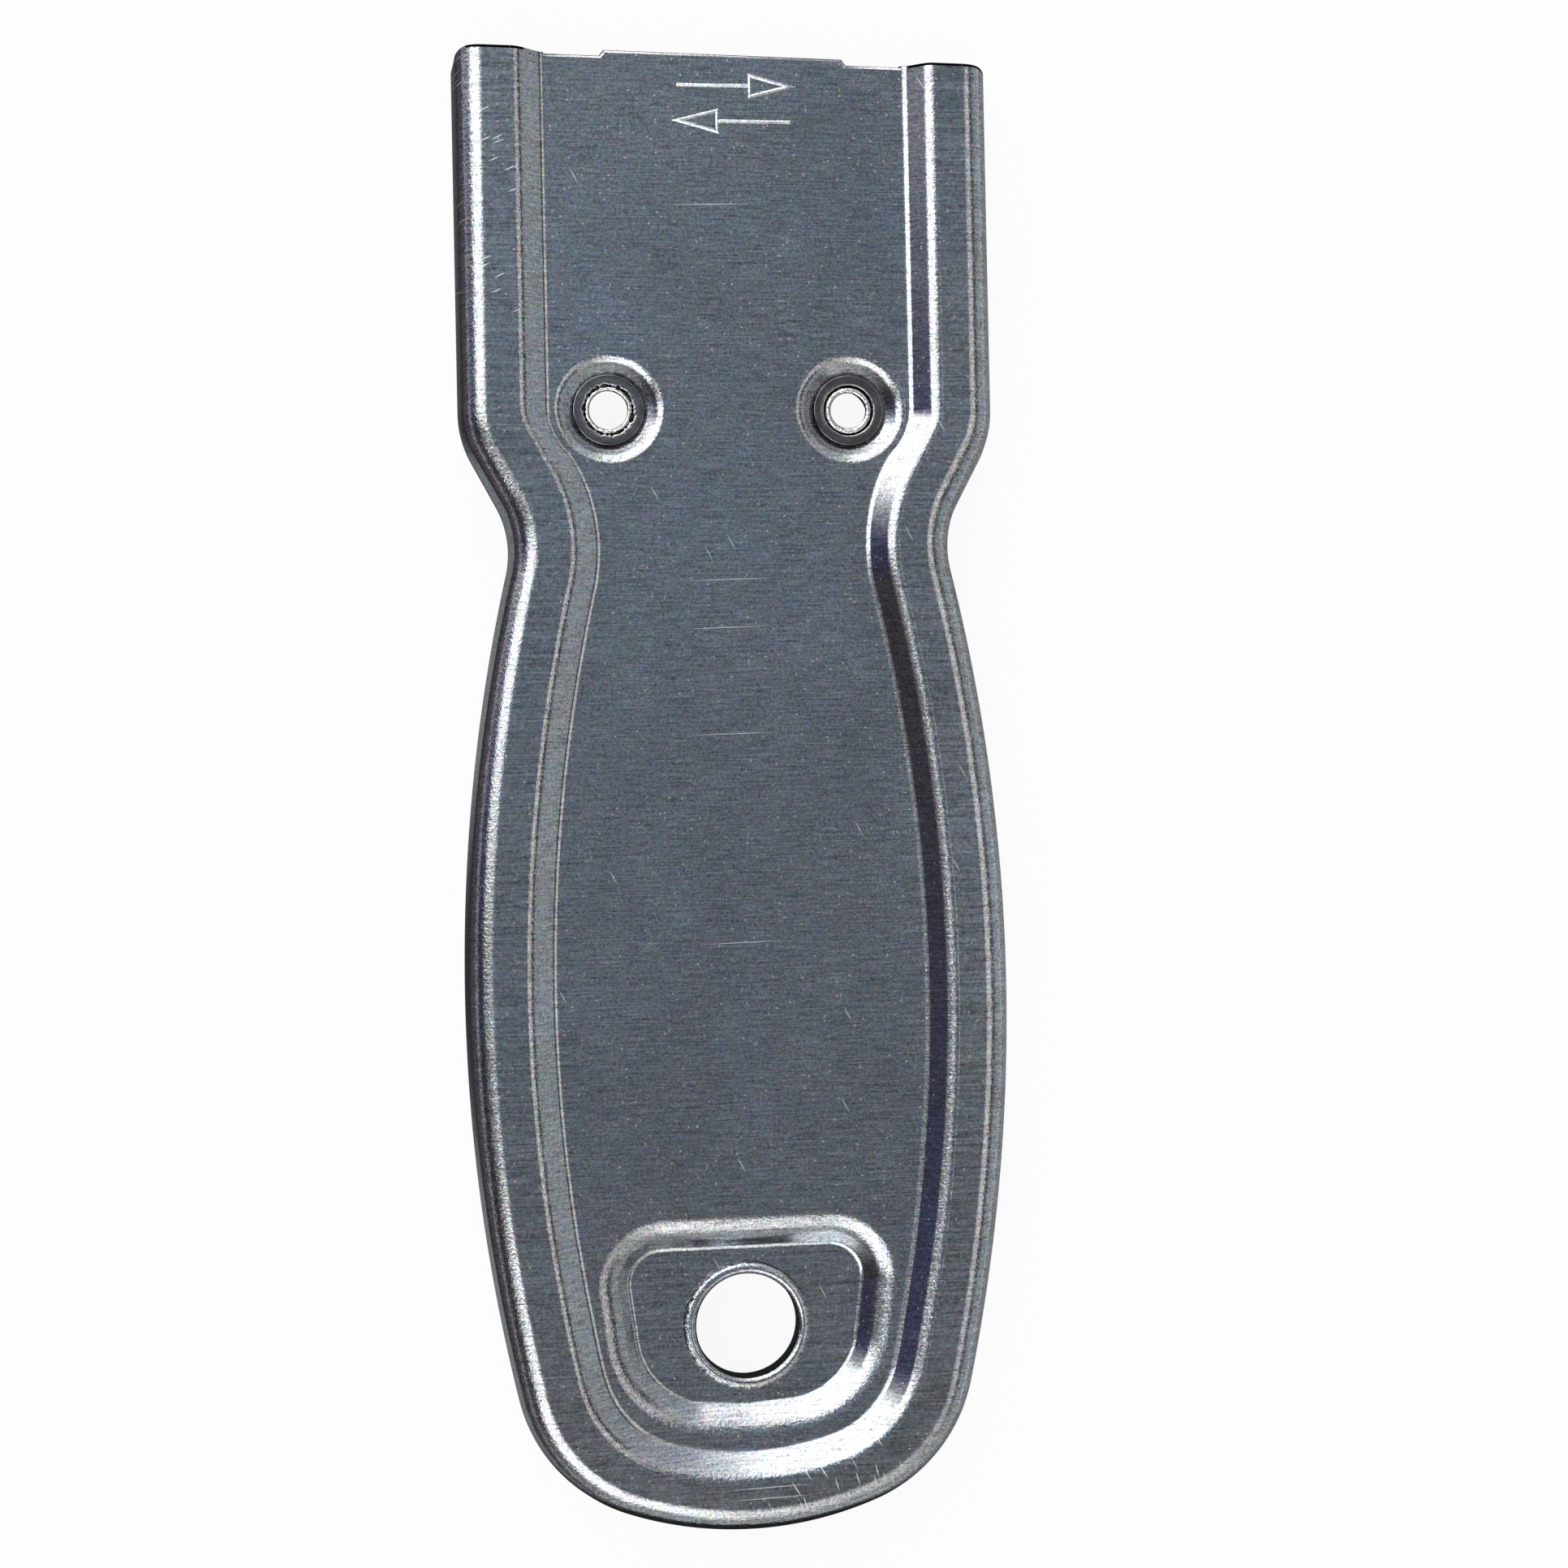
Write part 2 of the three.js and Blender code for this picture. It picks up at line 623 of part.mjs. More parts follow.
// Carriage: a folded channel round the spine, open at the right for changing the blade and
// stopped at the left, on a long stem with the tabs that take the button along
function bladeCarriage() {
  const backY = spineBackY - gap - carriageSheet;
  const lipY = spineFrontY + gap;
  const frontY = lipY + carriageSheet;
  const lipEnd = bladeThickness / 2 + gap;
  const left = -bladeLength / 2 - gap;
  const right = bladeLength / 2 + gap;
  const folded = [
    [backY + carriageSheet, stemLow], [lipY, stemLow], [lipY, lipEnd], [frontY, lipEnd],
    [frontY, stemHigh], [backY, stemHigh], [backY, -stemHigh], [frontY, -stemHigh],
    [frontY, -lipEnd], [lipY, -lipEnd], [lipY, -stemLow], [backY + carriageSheet, -stemLow],
  ].map(([y, z]) => new THREE.Vector2(y, z));
  let carriage = section(folded, left, right);

  const stop = block([left - gap, backY, -stemHigh], [left, frontY, stemHigh]);
  carriage = carriage.add(stop);

  const half = stemHalfWidth;
  const rootHalf = half + stemShoulder * flareShares.side;
  const rootY = backY - stemShoulder * flareShares.back;
  const stem = plate([
    new THREE.Vector2(-rootHalf, backY + carriageSheet),
    new THREE.Vector2(-half, rootY),
    new THREE.Vector2(-half, stemEndY + half / 2),
    new THREE.Vector2(-half / 2, stemEndY),
    new THREE.Vector2(half / 2, stemEndY),
    new THREE.Vector2(half, stemEndY + half / 2),
    new THREE.Vector2(half, rootY),
    new THREE.Vector2(rootHalf, backY + carriageSheet),
  ], stemLow, stemHigh);
  carriage = carriage.add(stem);

  const tabFrontY = buttonY + flangeHalfLength + gap;
  const tabLow = flangeLow + gap / 2;
  carriage = carriage.add(block(
    [-half + gap, tabFrontY, tabLow],
    [half - gap, tabFrontY + carriageSheet, stemLow + carriageSheet / 2],
  ));
  const earBackY = buttonY - flangeHalfLength - gap - carriageSheet;
  for (const side of [-1, 1]) {
    const center = side * (half - gap - earHalfWidth);
    carriage = carriage.add(block(
      [center - earHalfWidth, earBackY, tabLow],
      [center + earHalfWidth, earBackY + carriageSheet, stemLow + carriageSheet / 2],
    ));
  }
  return carriage.subtract(roundCutter(0, rivetY, rivetRadius + gap));
}

// Lock spring: a leaf riveted under the stem that bears on the button, with two side tabs
// bent down into the notches of the slot
function lockSpring() {
  const fixedHigh = stemLow - gap;
  const pressHigh = flangeHigh + gap + springSheet;
  const bendY = buttonY - flangeHalfLength;
  const flatY = bendY + springReach - gap;
  const tipY = buttonY + flangeHalfLength - flangeMargin;
  const upper = [
    [rivetY - springTail / 2 + gap, fixedHigh], [bendY, fixedHigh], [flatY, pressHigh],
    [tipY - flangeMargin, pressHigh], [tipY, pressHigh + springSheet],
  ];
  const lower = upper.map(([y, z]) => [y, z - springSheet]).reverse();
  const points = [...lower, ...upper].map(([y, z]) => new THREE.Vector2(y, z)).reverse();
  let spring = section(points, -springHalfWidth, springHalfWidth);

  const outer = tabOuterX();
  const tabY = tabLength / 2;
  const wing = block(
    [-outer, buttonY - tabY, pressHigh - springSheet], [outer, buttonY + tabY, pressHigh],
  );
  spring = spring.add(wing);
  for (const side of [-1, 1]) {
    const xs = [side * outer, side * (outer - springSheet)];
    spring = spring.add(block(
      [Math.min(...xs), buttonY - tabY, pressHigh - tabRise],
      [Math.max(...xs), buttonY + tabY, pressHigh],
    ));
  }
  return spring.subtract(roundCutter(0, rivetY, rivetRadius + gap));
}

// Rivet that holds the spring: head under the leaf, shank set flush in the stem
function springRivet() {
  const headTop = stemLow - 2 * gap - springSheet;
  return turned([
    [0, headTop - rivetHeadHeight],
    [rivetHeadRadius * rivetCrownShare, headTop - rivetHeadHeight],
    [rivetHeadRadius, headTop - rivetHeadHeight * rivetEdgeShare],
    [rivetHeadRadius, headTop],
    [rivetRadius, headTop],
    [rivetRadius, stemHigh],
    [0, stemHigh],
  ], 0, rivetY, smallRoundSegments);
}

// Moulded button: a block through the slot with cross ribs, on a flange inside the shell
function thumbButton() {
  const flange = roundedOutline([
    { x: flangeHalfWidth, y: buttonY + flangeHalfLength, r: flangeMargin },
    { x: -flangeHalfWidth, y: buttonY + flangeHalfLength, r: flangeMargin },
    { x: -flangeHalfWidth, y: buttonY - flangeHalfLength, r: flangeMargin },
    { x: flangeHalfWidth, y: buttonY - flangeHalfLength, r: flangeMargin },
  ], bendSteps);
  const half = buttonLength / 2;
  const outline = roundedOutline([
    { x: buttonHalfWidth, y: buttonY + half, r: buttonCorner },
    { x: -buttonHalfWidth, y: buttonY + half, r: buttonCorner },
    { x: -buttonHalfWidth, y: buttonY - half, r: buttonCorner },
    { x: buttonHalfWidth, y: buttonY - half, r: buttonCorner },
  ], arcSteps.corner);
  const face = -panelTop - buttonProud;
  let button = plate(flange.map(({ point }) => point), flangeLow, flangeHigh);
  button = button.add(loft([
    ringAt(outline, ribDepth, face),
    ringAt(outline, 0, face + ribDepth),
    ringAt(outline, 0, flangeLow + flangeThickness / 2),
  ]));
  const pitch = (buttonLength - 2 * buttonCorner) / ribCount;
  for (let i = 0; i <= ribCount; i += 1) {
    const y = buttonY + (i - ribCount / 2) * pitch;
    const groove = (pitch - ribWidth) / 2;
    const points = [
      [y - groove, face - ribDepth], [y + groove, face - ribDepth], [y, face + ribDepth],
    ].map(([along, up]) => new THREE.Vector2(along, up));
    button = button.subtract(section(points, -buttonHalfWidth - overrun, buttonHalfWidth + overrun));
  }
  return button;
}

// Assembly

const scraper = new THREE.Group();
const tool = new THREE.Group();
tool.position.z = landTop;
scraper.add(tool);

function addPiece(name, manifold, finish) {
  const mesh = new THREE.Mesh(geometryOf(manifold), new THREE.MeshStandardMaterial(finish));
  mesh.name = name;
  tool.add(mesh);
}

const half = halfShell();
addPiece('front_shell', frontShell(half), steel);
addPiece('back_shell', backShell(half), steel);
addPiece('left_eyelet', eyelet(-bossX), plating);
addPiece('right_eyelet', eyelet(bossX), plating);
addPiece('blade_carriage', bladeCarriage(), steel);
addPiece('blade_spine', bladeSpine(), steel);
addPiece('razor_blade', razorBlade(), bladeSteel);
addPiece('lock_spring', lockSpring(), springSteel);
addPiece('spring_rivet', springRivet(), plating);
addPiece('thumb_button', thumbButton(), nylon);

export default scraper;
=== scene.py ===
import math
import random

import bpy
import numpy as np
from mathutils import Matrix, Vector
from mathutils.geometry import delaunay_2d_cdt


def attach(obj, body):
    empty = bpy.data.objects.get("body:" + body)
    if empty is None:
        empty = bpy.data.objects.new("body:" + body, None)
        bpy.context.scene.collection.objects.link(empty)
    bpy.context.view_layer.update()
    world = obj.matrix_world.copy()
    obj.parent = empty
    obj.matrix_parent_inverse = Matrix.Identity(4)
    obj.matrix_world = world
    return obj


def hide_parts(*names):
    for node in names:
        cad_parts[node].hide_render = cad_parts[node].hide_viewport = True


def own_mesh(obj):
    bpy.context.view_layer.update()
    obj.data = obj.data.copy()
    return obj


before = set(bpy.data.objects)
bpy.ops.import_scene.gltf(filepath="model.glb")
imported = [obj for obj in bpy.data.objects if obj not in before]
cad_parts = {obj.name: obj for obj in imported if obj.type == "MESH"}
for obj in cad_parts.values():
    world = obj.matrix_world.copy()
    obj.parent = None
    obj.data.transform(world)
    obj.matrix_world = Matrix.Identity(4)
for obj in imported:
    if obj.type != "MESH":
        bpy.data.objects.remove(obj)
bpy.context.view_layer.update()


# Front half of the handle
# Zinc-plated mild steel sheet, 0.7 mm thick, blanked and pressed in one stroke: a rounded rim, a
# flat land, a panel one step lower, two bosses for the eyelets and a recess round the hang hole.
# It lies on the back half and is held by the eyelets and by the collar of the hang hole.

# Sizes are in millimetres from the middle of the tool, and MM turns them into metres in a mesh.
# The head, neck, handle and tongue are given as half their width.
MM = 0.001
length, head, neck, handle = 113.4, 20.75, 17.12, 21.05
neck_from_mouth, neck_bend, widest_share = 38.1, 7.4, 0.5525
shoulder_bend, shoulder_angle = 8.0, math.radians(28.2)
land_inset, tail_land, mouth_corner, panel_setback = 4.4, 4.05, 1.2, 0.45
tongue, tongue_setback, tongue_foot, tongue_top = 9.4, 0.17, 0.15, 0.2
sheet, draft, rim_bend, wall_foot = 0.7, math.radians(10), 2.1, 0.15
land_top, panel_top, floor_top = 3.7, 2.3, 0.85
panel_step = dict(outer=1.65, inner=0.87, angle=math.radians(40))
boss_step = dict(outer=1.3, inner=0.1, angle=math.radians(42))
recess_step = dict(outer=2.9, inner=0.6, angle=math.radians(42))
boss_x, boss_y, boss_radius, boss_hole, circle_steps = 9.3, 29.3, 4.35, 2.1, 96
hole_y, hole_radius, front_hole = -41.0, 3.95, 4.65
recess_corners = [(9.15, hole_y + 5.8, 2.4), (-9.15, hole_y + 5.8, 2.4),
                  (-7.7, hole_y - 5.35, 5.4), (0, hole_y - 5.85, 14), (7.7, hole_y - 5.35, 5.4)]
recess_steeper, step_clearance = 0.12, 0.12
edge_roll, edge_burr = 0.28, 0.06

neck_y = length / 2 - neck_from_mouth
widest_y = -length / 2 + widest_share * (neck_y + length / 2)
blank = dict(head=head, neck=neck, handle=handle, shoulder=shoulder_bend, waist=neck_bend,
             corner=12.5, tail=28.0, tail_y=-length / 2)
land_edge = dict(head=head - land_inset, neck=neck - land_inset, handle=handle - land_inset,
                 shoulder=shoulder_bend - land_inset, waist=neck_bend + land_inset,
                 corner=9.5, tail=24.0, tail_y=tail_land - length / 2)


def arc(centre, radius, start, end, steps):
    """Points on an arc and the directions out of its convex side."""
    angle = np.linspace(start, end, steps + 1)
    out = np.stack([np.cos(angle), np.sin(angle)], axis=1)
    return np.asarray(centre) + out * radius, out


def heading(vector):
    """Angle of a flat vector from +X."""
    return math.atan2(vector[1], vector[0])


def side_of(shape):
    """Right side of a handle line from the shoulder to the middle of the tail."""
    waist = np.array([shape["neck"] + shape["waist"], neck_y])
    across, along = waist[0] - shape["handle"], neck_y - widest_y
    belly = (across ** 2 + along ** 2 - shape["waist"] ** 2) / (2 * (shape["waist"] - across))
    belly_centre = np.array([shape["handle"] - belly, widest_y])
    belly_start = heading(waist - belly_centre)

    facing = np.array([math.cos(shoulder_angle), -math.sin(shoulder_angle)])
    shoulder_x = shape["head"] - shape["shoulder"]
    offset = waist @ facing - shape["waist"] - shape["shoulder"]
    shoulder = np.array([shoulder_x, (offset - shoulder_x * facing[0]) / facing[1]])

    # The tail's corner touches both the belly and the tail from inside.
    tail = np.array([0, shape["tail_y"] + shape["tail"]])
    near, far = belly - shape["corner"], shape["tail"] - shape["corner"]
    gap = tail - belly_centre
    reach = np.hypot(*gap)
    step = (near ** 2 - far ** 2 + reach ** 2) / (2 * reach)
    aside = math.sqrt(near ** 2 - step ** 2)
    unit = gap / reach
    corner = belly_centre + unit * step + aside * np.array([unit[1], -unit[0]])
    belly_end, corner_end = heading(corner - belly_centre), heading(corner - tail)

    start = shoulder + facing * shape["shoulder"]
    end = waist - facing * shape["waist"]
    diagonal = start + (end - start) * np.linspace(0, 1, 12)[1:-1, None]
    runs = [
        arc(shoulder, shape["shoulder"], 0, -shoulder_angle, 14),
        (np.vstack([start, diagonal]), np.tile(facing, (11, 1))),
        arc(waist, -shape["waist"], -shoulder_angle, belly_start, 20),
        arc(belly_centre, belly, belly_start, belly_end, 64),
        arc(corner, shape["corner"], belly_end, corner_end, 26),
        arc(tail, shape["tail"], corner_end, -math.pi / 2, 18),
    ]
    points = np.vstack([runs[0][0]] + [run[0][1:] for run in runs[1:]])
    outs = np.vstack([runs[0][1]] + [run[1][1:] for run in runs[1:]])
    return points, outs, shoulder[1]


def ring(shape, inset, height, tilt, stretched, mouth_y, setback, scale=1.0):
    """One line round the handle, mouth to mouth, with its normals.
    tilt is the angle of the surface from flat; it is negative where it faces the middle."""
    points, outs, shoulder_y = side_of(shape)
    past = max(shape["head"] - inset - (head - mouth_corner), 0)
    mouth_end = mouth_y - mouth_corner + math.sqrt(max(mouth_corner ** 2 - past ** 2, 0))
    # The points are closest at the mouth, where the setback is, and towards the shoulder.
    shares = [0, setback / (mouth_y - shoulder_y), 0.03, 0.06, 0.1, 0.2, 0.3, 0.4, 0.5, 0.6]
    shares += list(np.arange(0.64, 0.99, 0.03))
    straight = [(shape["head"], mouth_end + (shoulder_y - mouth_end) * share) for share in shares]
    points = np.vstack([straight, points])
    outs = np.vstack([[(1, 0)] * len(straight), outs])
    points = np.vstack([points, (points * (-1, 1))[-2::-1]])
    outs = np.vstack([outs, (outs * (-1, 1))[-2::-1]])
    points = points - outs * np.broadcast_to(inset * scale, len(points))[:, None]
    flat = np.full(len(points), 1.0)
    place = np.column_stack([points, flat * height])
    normal = np.column_stack([outs * math.sin(tilt), flat * math.cos(tilt)])
    return place, normal, flat * stretched


def step_lines(bend, drop, coarse=1):
    """(inset, depth, tilt, stretched) down a pressed step, from its upper edge inwards. The
    metal is stretched most in the middle of the upper bend, and less in the lower one."""
    outer, inner, turn = bend["outer"], bend["inner"], bend["angle"]
    slope = (drop - (outer + inner) * (1 - math.cos(turn))) / math.tan(turn)
    run = slope + (outer + inner) * math.sin(turn)
    lines = []
    for share in np.linspace(0, 1, 10 // coarse + 1):
        a = turn * share
        stretched = min(1, 5 * share, 0.1 + 1.7 * (1 - share))
        lines.append((outer * math.sin(a), outer * (math.cos(a) - 1), -a, stretched))
    for share in np.linspace(1, 0, 7 // coarse + 1):
        a = turn * share
        stretched = 0.15 * share + 0.8 * share * (1 - share)
        lines.append((run - inner * math.sin(a), inner * (1 - math.cos(a)) - drop, -a, stretched))
    return lines


def rounded(corners, steps):
    """Polygon with rounded corners (x, y, radius), and the directions out of it.
    steps is the number for a right angle; corners under 1 mm have fewer."""
    points, outs = [], []
    for i, (x, y, radius) in enumerate(corners):
        here = np.array([x, y])
        before, after = np.array(corners[i - 1][:2]), np.array(corners[(i + 1) % len(corners)][:2])
        come = (here - before) / np.hypot(*(here - before))
        go = (after - here) / np.hypot(*(after - here))
        turn = math.atan2(come[0] * go[1] - come[1] * go[0], come @ go)
        way = math.copysign(1, turn)
        inward = np.array([-come[1], come[0]]) * way
        centre = here - come * radius * math.tan(abs(turn) / 2) + inward * radius
        start = heading(-inward)
        count = max(2, round(steps * abs(turn) / 1.6 * (1 if radius > 1 else 0.3)))
        p, o = arc(centre, radius, start, start + turn, count)
        points.append(p)
        outs.append(o * way)
    return np.vstack(points), np.vstack(outs)


class Skin:
    """Outer surface of a pressed sheet: points, normals, how far the metal is drawn, thickness."""

    def __init__(self):
        self.place, self.normal, self.drawn, self.thick, self.faces = [], [], [], [], []

    def add(self, place, normal, drawn, thick=sheet):
        start = sum(len(p) for p in self.place)
        self.place.append(np.asarray(place, float))
        self.normal.append(np.asarray(normal, float))
        self.drawn.append(np.broadcast_to(drawn, len(place)).astype(float))
        self.thick.append(np.broadcast_to(thick, len(place)).astype(float))
        return np.arange(start, start + len(place))

    def add_flat(self, points, height, thick=sheet):
        """Line on a flat, undrawn part."""
        place = np.column_stack([points, np.full(len(points), height)])
        return self.add(place, [(0, 0, 1)] * len(points), 0, thick)

    def strip(self, outer, inner, closed):
        """Quads between two lines that run counter-clockwise, the second one further in."""
        n = len(outer)
        for i in range(n if closed else n - 1):
            j = (i + 1) % n
            self.faces.append((outer[j], inner[j], inner[i], outer[i]))

    def fill(self, outer, holes):
        """Flat part inside one line and outside some others."""
        place = np.vstack(self.place)
        lines = [np.asarray(line) for line in [outer] + holes]
        index = np.concatenate(lines)
        ties, start = [], 0
        for line in lines:
            ties += [(start + i, start + (i + 1) % len(line)) for i in range(len(line))]
            start += len(line)
        flat = [Vector(place[i][:2]) for i in index]
        found = delaunay_2d_cdt(flat, ties, [], 0, 1e-9)
        corners = np.array([[index[found[3][i][0]] for i in tri] for tri in found[2]])
        # Only triangles whose middle is past an odd number of the lines are part of it.
        middle = place[corners][:, :, :2].mean(axis=1)
        inside = np.zeros(len(corners), bool)
        for a, b in ties:
            (ax, ay), (bx, by) = place[index[a]][:2], place[index[b]][:2]
            if ay != by:
                across = ax + (middle[:, 1] - ay) * (bx - ax) / (by - ay)
                inside ^= ((ay > middle[:, 1]) != (by > middle[:, 1])) & (middle[:, 0] < across)
        for a, b, c in corners[inside]:
            u, v = place[b] - place[a], place[c] - place[a]
            self.faces.append((a, b, c) if u[0] * v[1] - u[1] * v[0] > 0 else (a, c, b))

    def circle_lines(self, x, y, lines, count=circle_steps):
        """Rings round a vertical axis from (radius, height, tilt, drawn, thickness) values."""
        out = []
        angle = np.linspace(0, 2 * math.pi, count, endpoint=False)
        around = np.stack([np.cos(angle), np.sin(angle)], axis=1)
        for radius, height, tilt, drawn, thick in lines:
            reach = np.broadcast_to(radius, count)[:, None]
            place = np.column_stack([around * reach + (x, y), np.full(count, height)])
            normal = np.column_stack([around * math.sin(tilt), np.full(count, math.cos(tilt))])
            out.append(self.add(place, normal, drawn, thick))
        for a, b in zip(out, out[1:]):
            self.strip(a, b, True)
        return out


def boundary_loops(faces):
    """Directed loops of the edges that only one face has."""
    used = {}
    for face in faces:
        for a, b in zip(face, face[1:] + face[:1]):
            used[(a, b)] = True
    after = {a: b for a, b in used if (b, a) not in used}
    loops = []
    while after:
        start = next(iter(after))
        loop, here = [start], after.pop(start)
        while here != start:
            loop.append(here)
            here = after.pop(here)
        loops.append(loop)
    return loops


def linked(name, data):
    """New object of the scene."""
    piece = bpy.data.objects.new(name, data)
    bpy.context.scene.collection.objects.link(piece)
    return piece


def rolled_edge(p, q, n, thick):
    """New places of an open edge on both sides of a sheet, and the rings between them with their
    normals: a rolled corner on the die side, and a small one on the other."""
    along = np.roll(p, -1, axis=0) - p
    along /= np.linalg.norm(along, axis=1)[:, None] + 1e-12
    side = np.cross(along, n)
    side = side + np.roll(side, 1, axis=0)
    size = np.linalg.norm(side, axis=1)[:, None]
    out, mitre = side / size, np.minimum(2 / size, 1.6)
    roll, burr = min(edge_roll, 0.4 * thick), min(edge_burr, 0.2 * thick)
    rings = []
    for centre, radius, up, degrees in ((p - (out * mitre + n) * roll, roll, n, (30, 60, 90)),
                                        (q + (n - out * mitre) * burr, burr, -n, (90, 45))):
        for a in np.radians(degrees):
            rings.append((centre + (up * math.cos(a) + out * mitre * math.sin(a)) * radius,
                          up * math.cos(a) + out * math.sin(a)))
    return p - out * roll * mitre, q - out * burr * mitre, rings


def sheet_mesh(name, skin, lift, turned_over=False, ridges=()):
    """Closed mesh of a sheet from its outer skin, with a rolled edge on the die side."""
    edge_drawn, under_drawn, ridge_drawn = 0.15, 0.5, 0.3
    place, normal = np.vstack(skin.place), np.vstack(skin.normal)
    drawn, thick = np.concatenate(skin.drawn), np.concatenate(skin.thick)
    faces = [tuple(int(i) for i in face) for face in skin.faces]
    count = len(place)
    under = place - normal * thick[:, None]
    top, low = place.copy(), under.copy()
    extra, extra_normal, walls = [], [], []
    total = 2 * count
    for loop in boundary_loops(faces):
        top[loop], low[loop], between = rolled_edge(place[loop], under[loop], normal[loop],
                                                    thick[loop].min())
        rings = [np.array(loop)]
        for ring_place, ring_normal in between:
            extra.append(ring_place)
            extra_normal.append(ring_normal)
            rings.append(np.arange(total, total + len(loop)))
            total += len(loop)
        rings.append(np.array(loop) + count)
        for a, b in zip(rings, rings[1:]):
            for i in range(len(loop)):
                j = (i + 1) % len(loop)
                walls.append((int(a[j]), int(a[i]), int(b[i]), int(b[j])))
    points = np.vstack([top, low] + extra)
    points[:, 2] = np.minimum(points[:, 2], place[:, 2].max())
    normals = np.vstack([normal, -normal] + extra_normal)
    stretch = np.concatenate([drawn, drawn * under_drawn, np.full(total - 2 * count, edge_drawn)])
    all_faces = faces + [tuple(i + count for i in face[::-1]) for face in faces] + walls
    for more, more_normals, more_faces in ridges:
        all_faces += [tuple(i + len(points) for i in face) for face in more_faces]
        points, normals = np.vstack([points, more]), np.vstack([normals, more_normals])
        stretch = np.concatenate([stretch, np.full(len(more), ridge_drawn)])
    if turned_over:
        points, normals = points * (-1, 1, -1), normals * (-1, 1, -1)
    points = (points + (0, 0, lift)) * MM
    normals = normals / np.linalg.norm(normals, axis=1)[:, None]
    mesh = bpy.data.meshes.new(name)
    mesh.from_pydata(points.tolist(), [], all_faces)
    mesh.attributes.new("drawn", "FLOAT", "POINT").data.foreach_set("value", stretch)
    mesh.shade_smooth()
    mesh.normals_split_custom_set_from_vertices(normals.tolist())
    return linked(name, mesh)


def close_lines(brim):
    """Points and outward directions, close together, round the recess and both bosses."""
    turn = np.linspace(0, 2 * math.pi, 121)
    circle = np.column_stack([np.cos(turn), np.sin(turn)])
    lines = [np.vstack([brim, brim[:1]])]
    lines += [np.hstack([circle * boss_radius + (x, boss_y), circle]) for x in (boss_x, -boss_x)]
    close = []
    for line in lines:
        fine = np.linspace(0, len(line) - 1, 6 * len(line))
        close.append(np.column_stack([np.interp(fine, range(len(line)), column) for column in line.T]))
    return np.vstack(close)


def squeeze(foot, inward, run, close):
    """Share of its run that a step keeps at each point, to stay clear of those lines."""
    scale = np.ones(len(foot))
    for _ in range(40):
        at = foot[:, :2] - inward[:, :2] * (run * scale)[:, None]
        apart = at[:, None] - close[None, :, :2]
        nearest = np.hypot(apart[:, :, 0], apart[:, :, 1]).argmin(axis=1)
        apart = (apart[range(len(at)), nearest] * close[nearest, 2:]).sum(axis=1)
        scale -= 0.7 * np.clip(step_clearance - apart, 0, None) / run
    for _ in range(4):
        scale = np.minimum(scale, (np.roll(scale, 1) + scale + np.roll(scale, -1)) / 3)
    return scale


def pressed_half(cuts, mouth_y, setback):
    """Skin of one half, land up, with lines for what is cut out of its panel. Returns the skin
    and the line round the flat floor of the recess."""
    skin = Skin()
    bend_z = land_top - rim_bend
    wall_inset = (bend_z + rim_bend * math.sin(draft) - wall_foot) * math.tan(draft)
    bend_inset = wall_inset + rim_bend * math.cos(draft)
    rim = [(0, wall_foot, math.pi / 2 - draft, 0.1)]
    for share in np.linspace(0, 1, 13):
        a = draft + (math.pi / 2 - draft) * share
        rim.append((bend_inset - rim_bend * math.cos(a), bend_z + rim_bend * math.sin(a),
                    math.pi / 2 - a, min(1, 3 * share, 5 * (1 - share))))
    rings = [skin.add(*ring(blank, *line, mouth_y, setback)) for line in rim]

    # The wall of the recess is a little steeper towards the tail.
    drop = panel_top - floor_top
    base, outs = rounded(recess_corners, 24)
    wall = step_lines(recess_step, drop)
    recess_run = wall[-1][0] * (1 - recess_steeper * np.clip(-outs[:, 1], 0, 1))
    brim = np.hstack([base + outs * recess_run[:, None], outs])

    # The step to the panel is steeper where a boss or the recess comes close to it.
    step = step_lines(panel_step, land_top - panel_top)
    foot, inward, _ = ring(land_edge, 0, 0, math.pi / 2, 0, mouth_y, setback)
    scale = squeeze(foot, inward, step[-1][0], close_lines(brim))
    for inset, depth, tilt, stretched in step:
        rings.append(skin.add(*ring(land_edge, inset, land_top + depth, tilt, stretched,
                                    mouth_y, setback, scale)))
    for a, b in zip(rings, rings[1:]):
        skin.strip(a[::-1], b[::-1], False)

    holes = []
    for side in (-1, 1):
        lines = [(boss_radius - inset, panel_top + depth, tilt, max(stretched, 0.6 * (inset > 0)), sheet)
                 for inset, depth, tilt, stretched in step_lines(boss_step, drop, 2)]
        lines.append((boss_hole, floor_top, 0, 0, sheet))
        holes.append(skin.circle_lines(side * boss_x, boss_y, lines)[0])

    floor = []
    for inset, depth, tilt, stretched in wall:
        reach = recess_run * (1 - inset / wall[-1][0])
        place = np.column_stack([base + outs * reach[:, None], np.full(len(base), panel_top + depth)])
        normal = np.column_stack([outs * math.sin(tilt), np.full(len(base), math.cos(tilt))])
        floor.append(skin.add(place, normal, stretched))
    for a, b in zip(floor, floor[1:]):
        skin.strip(a, b, True)
    holes.append(floor[0])

    holes += [skin.add_flat(points, panel_top) for points in cuts]
    back, front = mouth_y - setback, length / 2 - tongue_setback
    foot_x, top_x = tongue + tongue_foot, tongue - tongue_top
    lip = skin.add_flat([(-foot_x, back), (-top_x, front), (top_x, front), (foot_x, back)], panel_top)
    skin.fill(np.concatenate([rings[-1][1:-1][::-1], lip[::-1]])[::-1], holes)
    return skin, floor[-1]


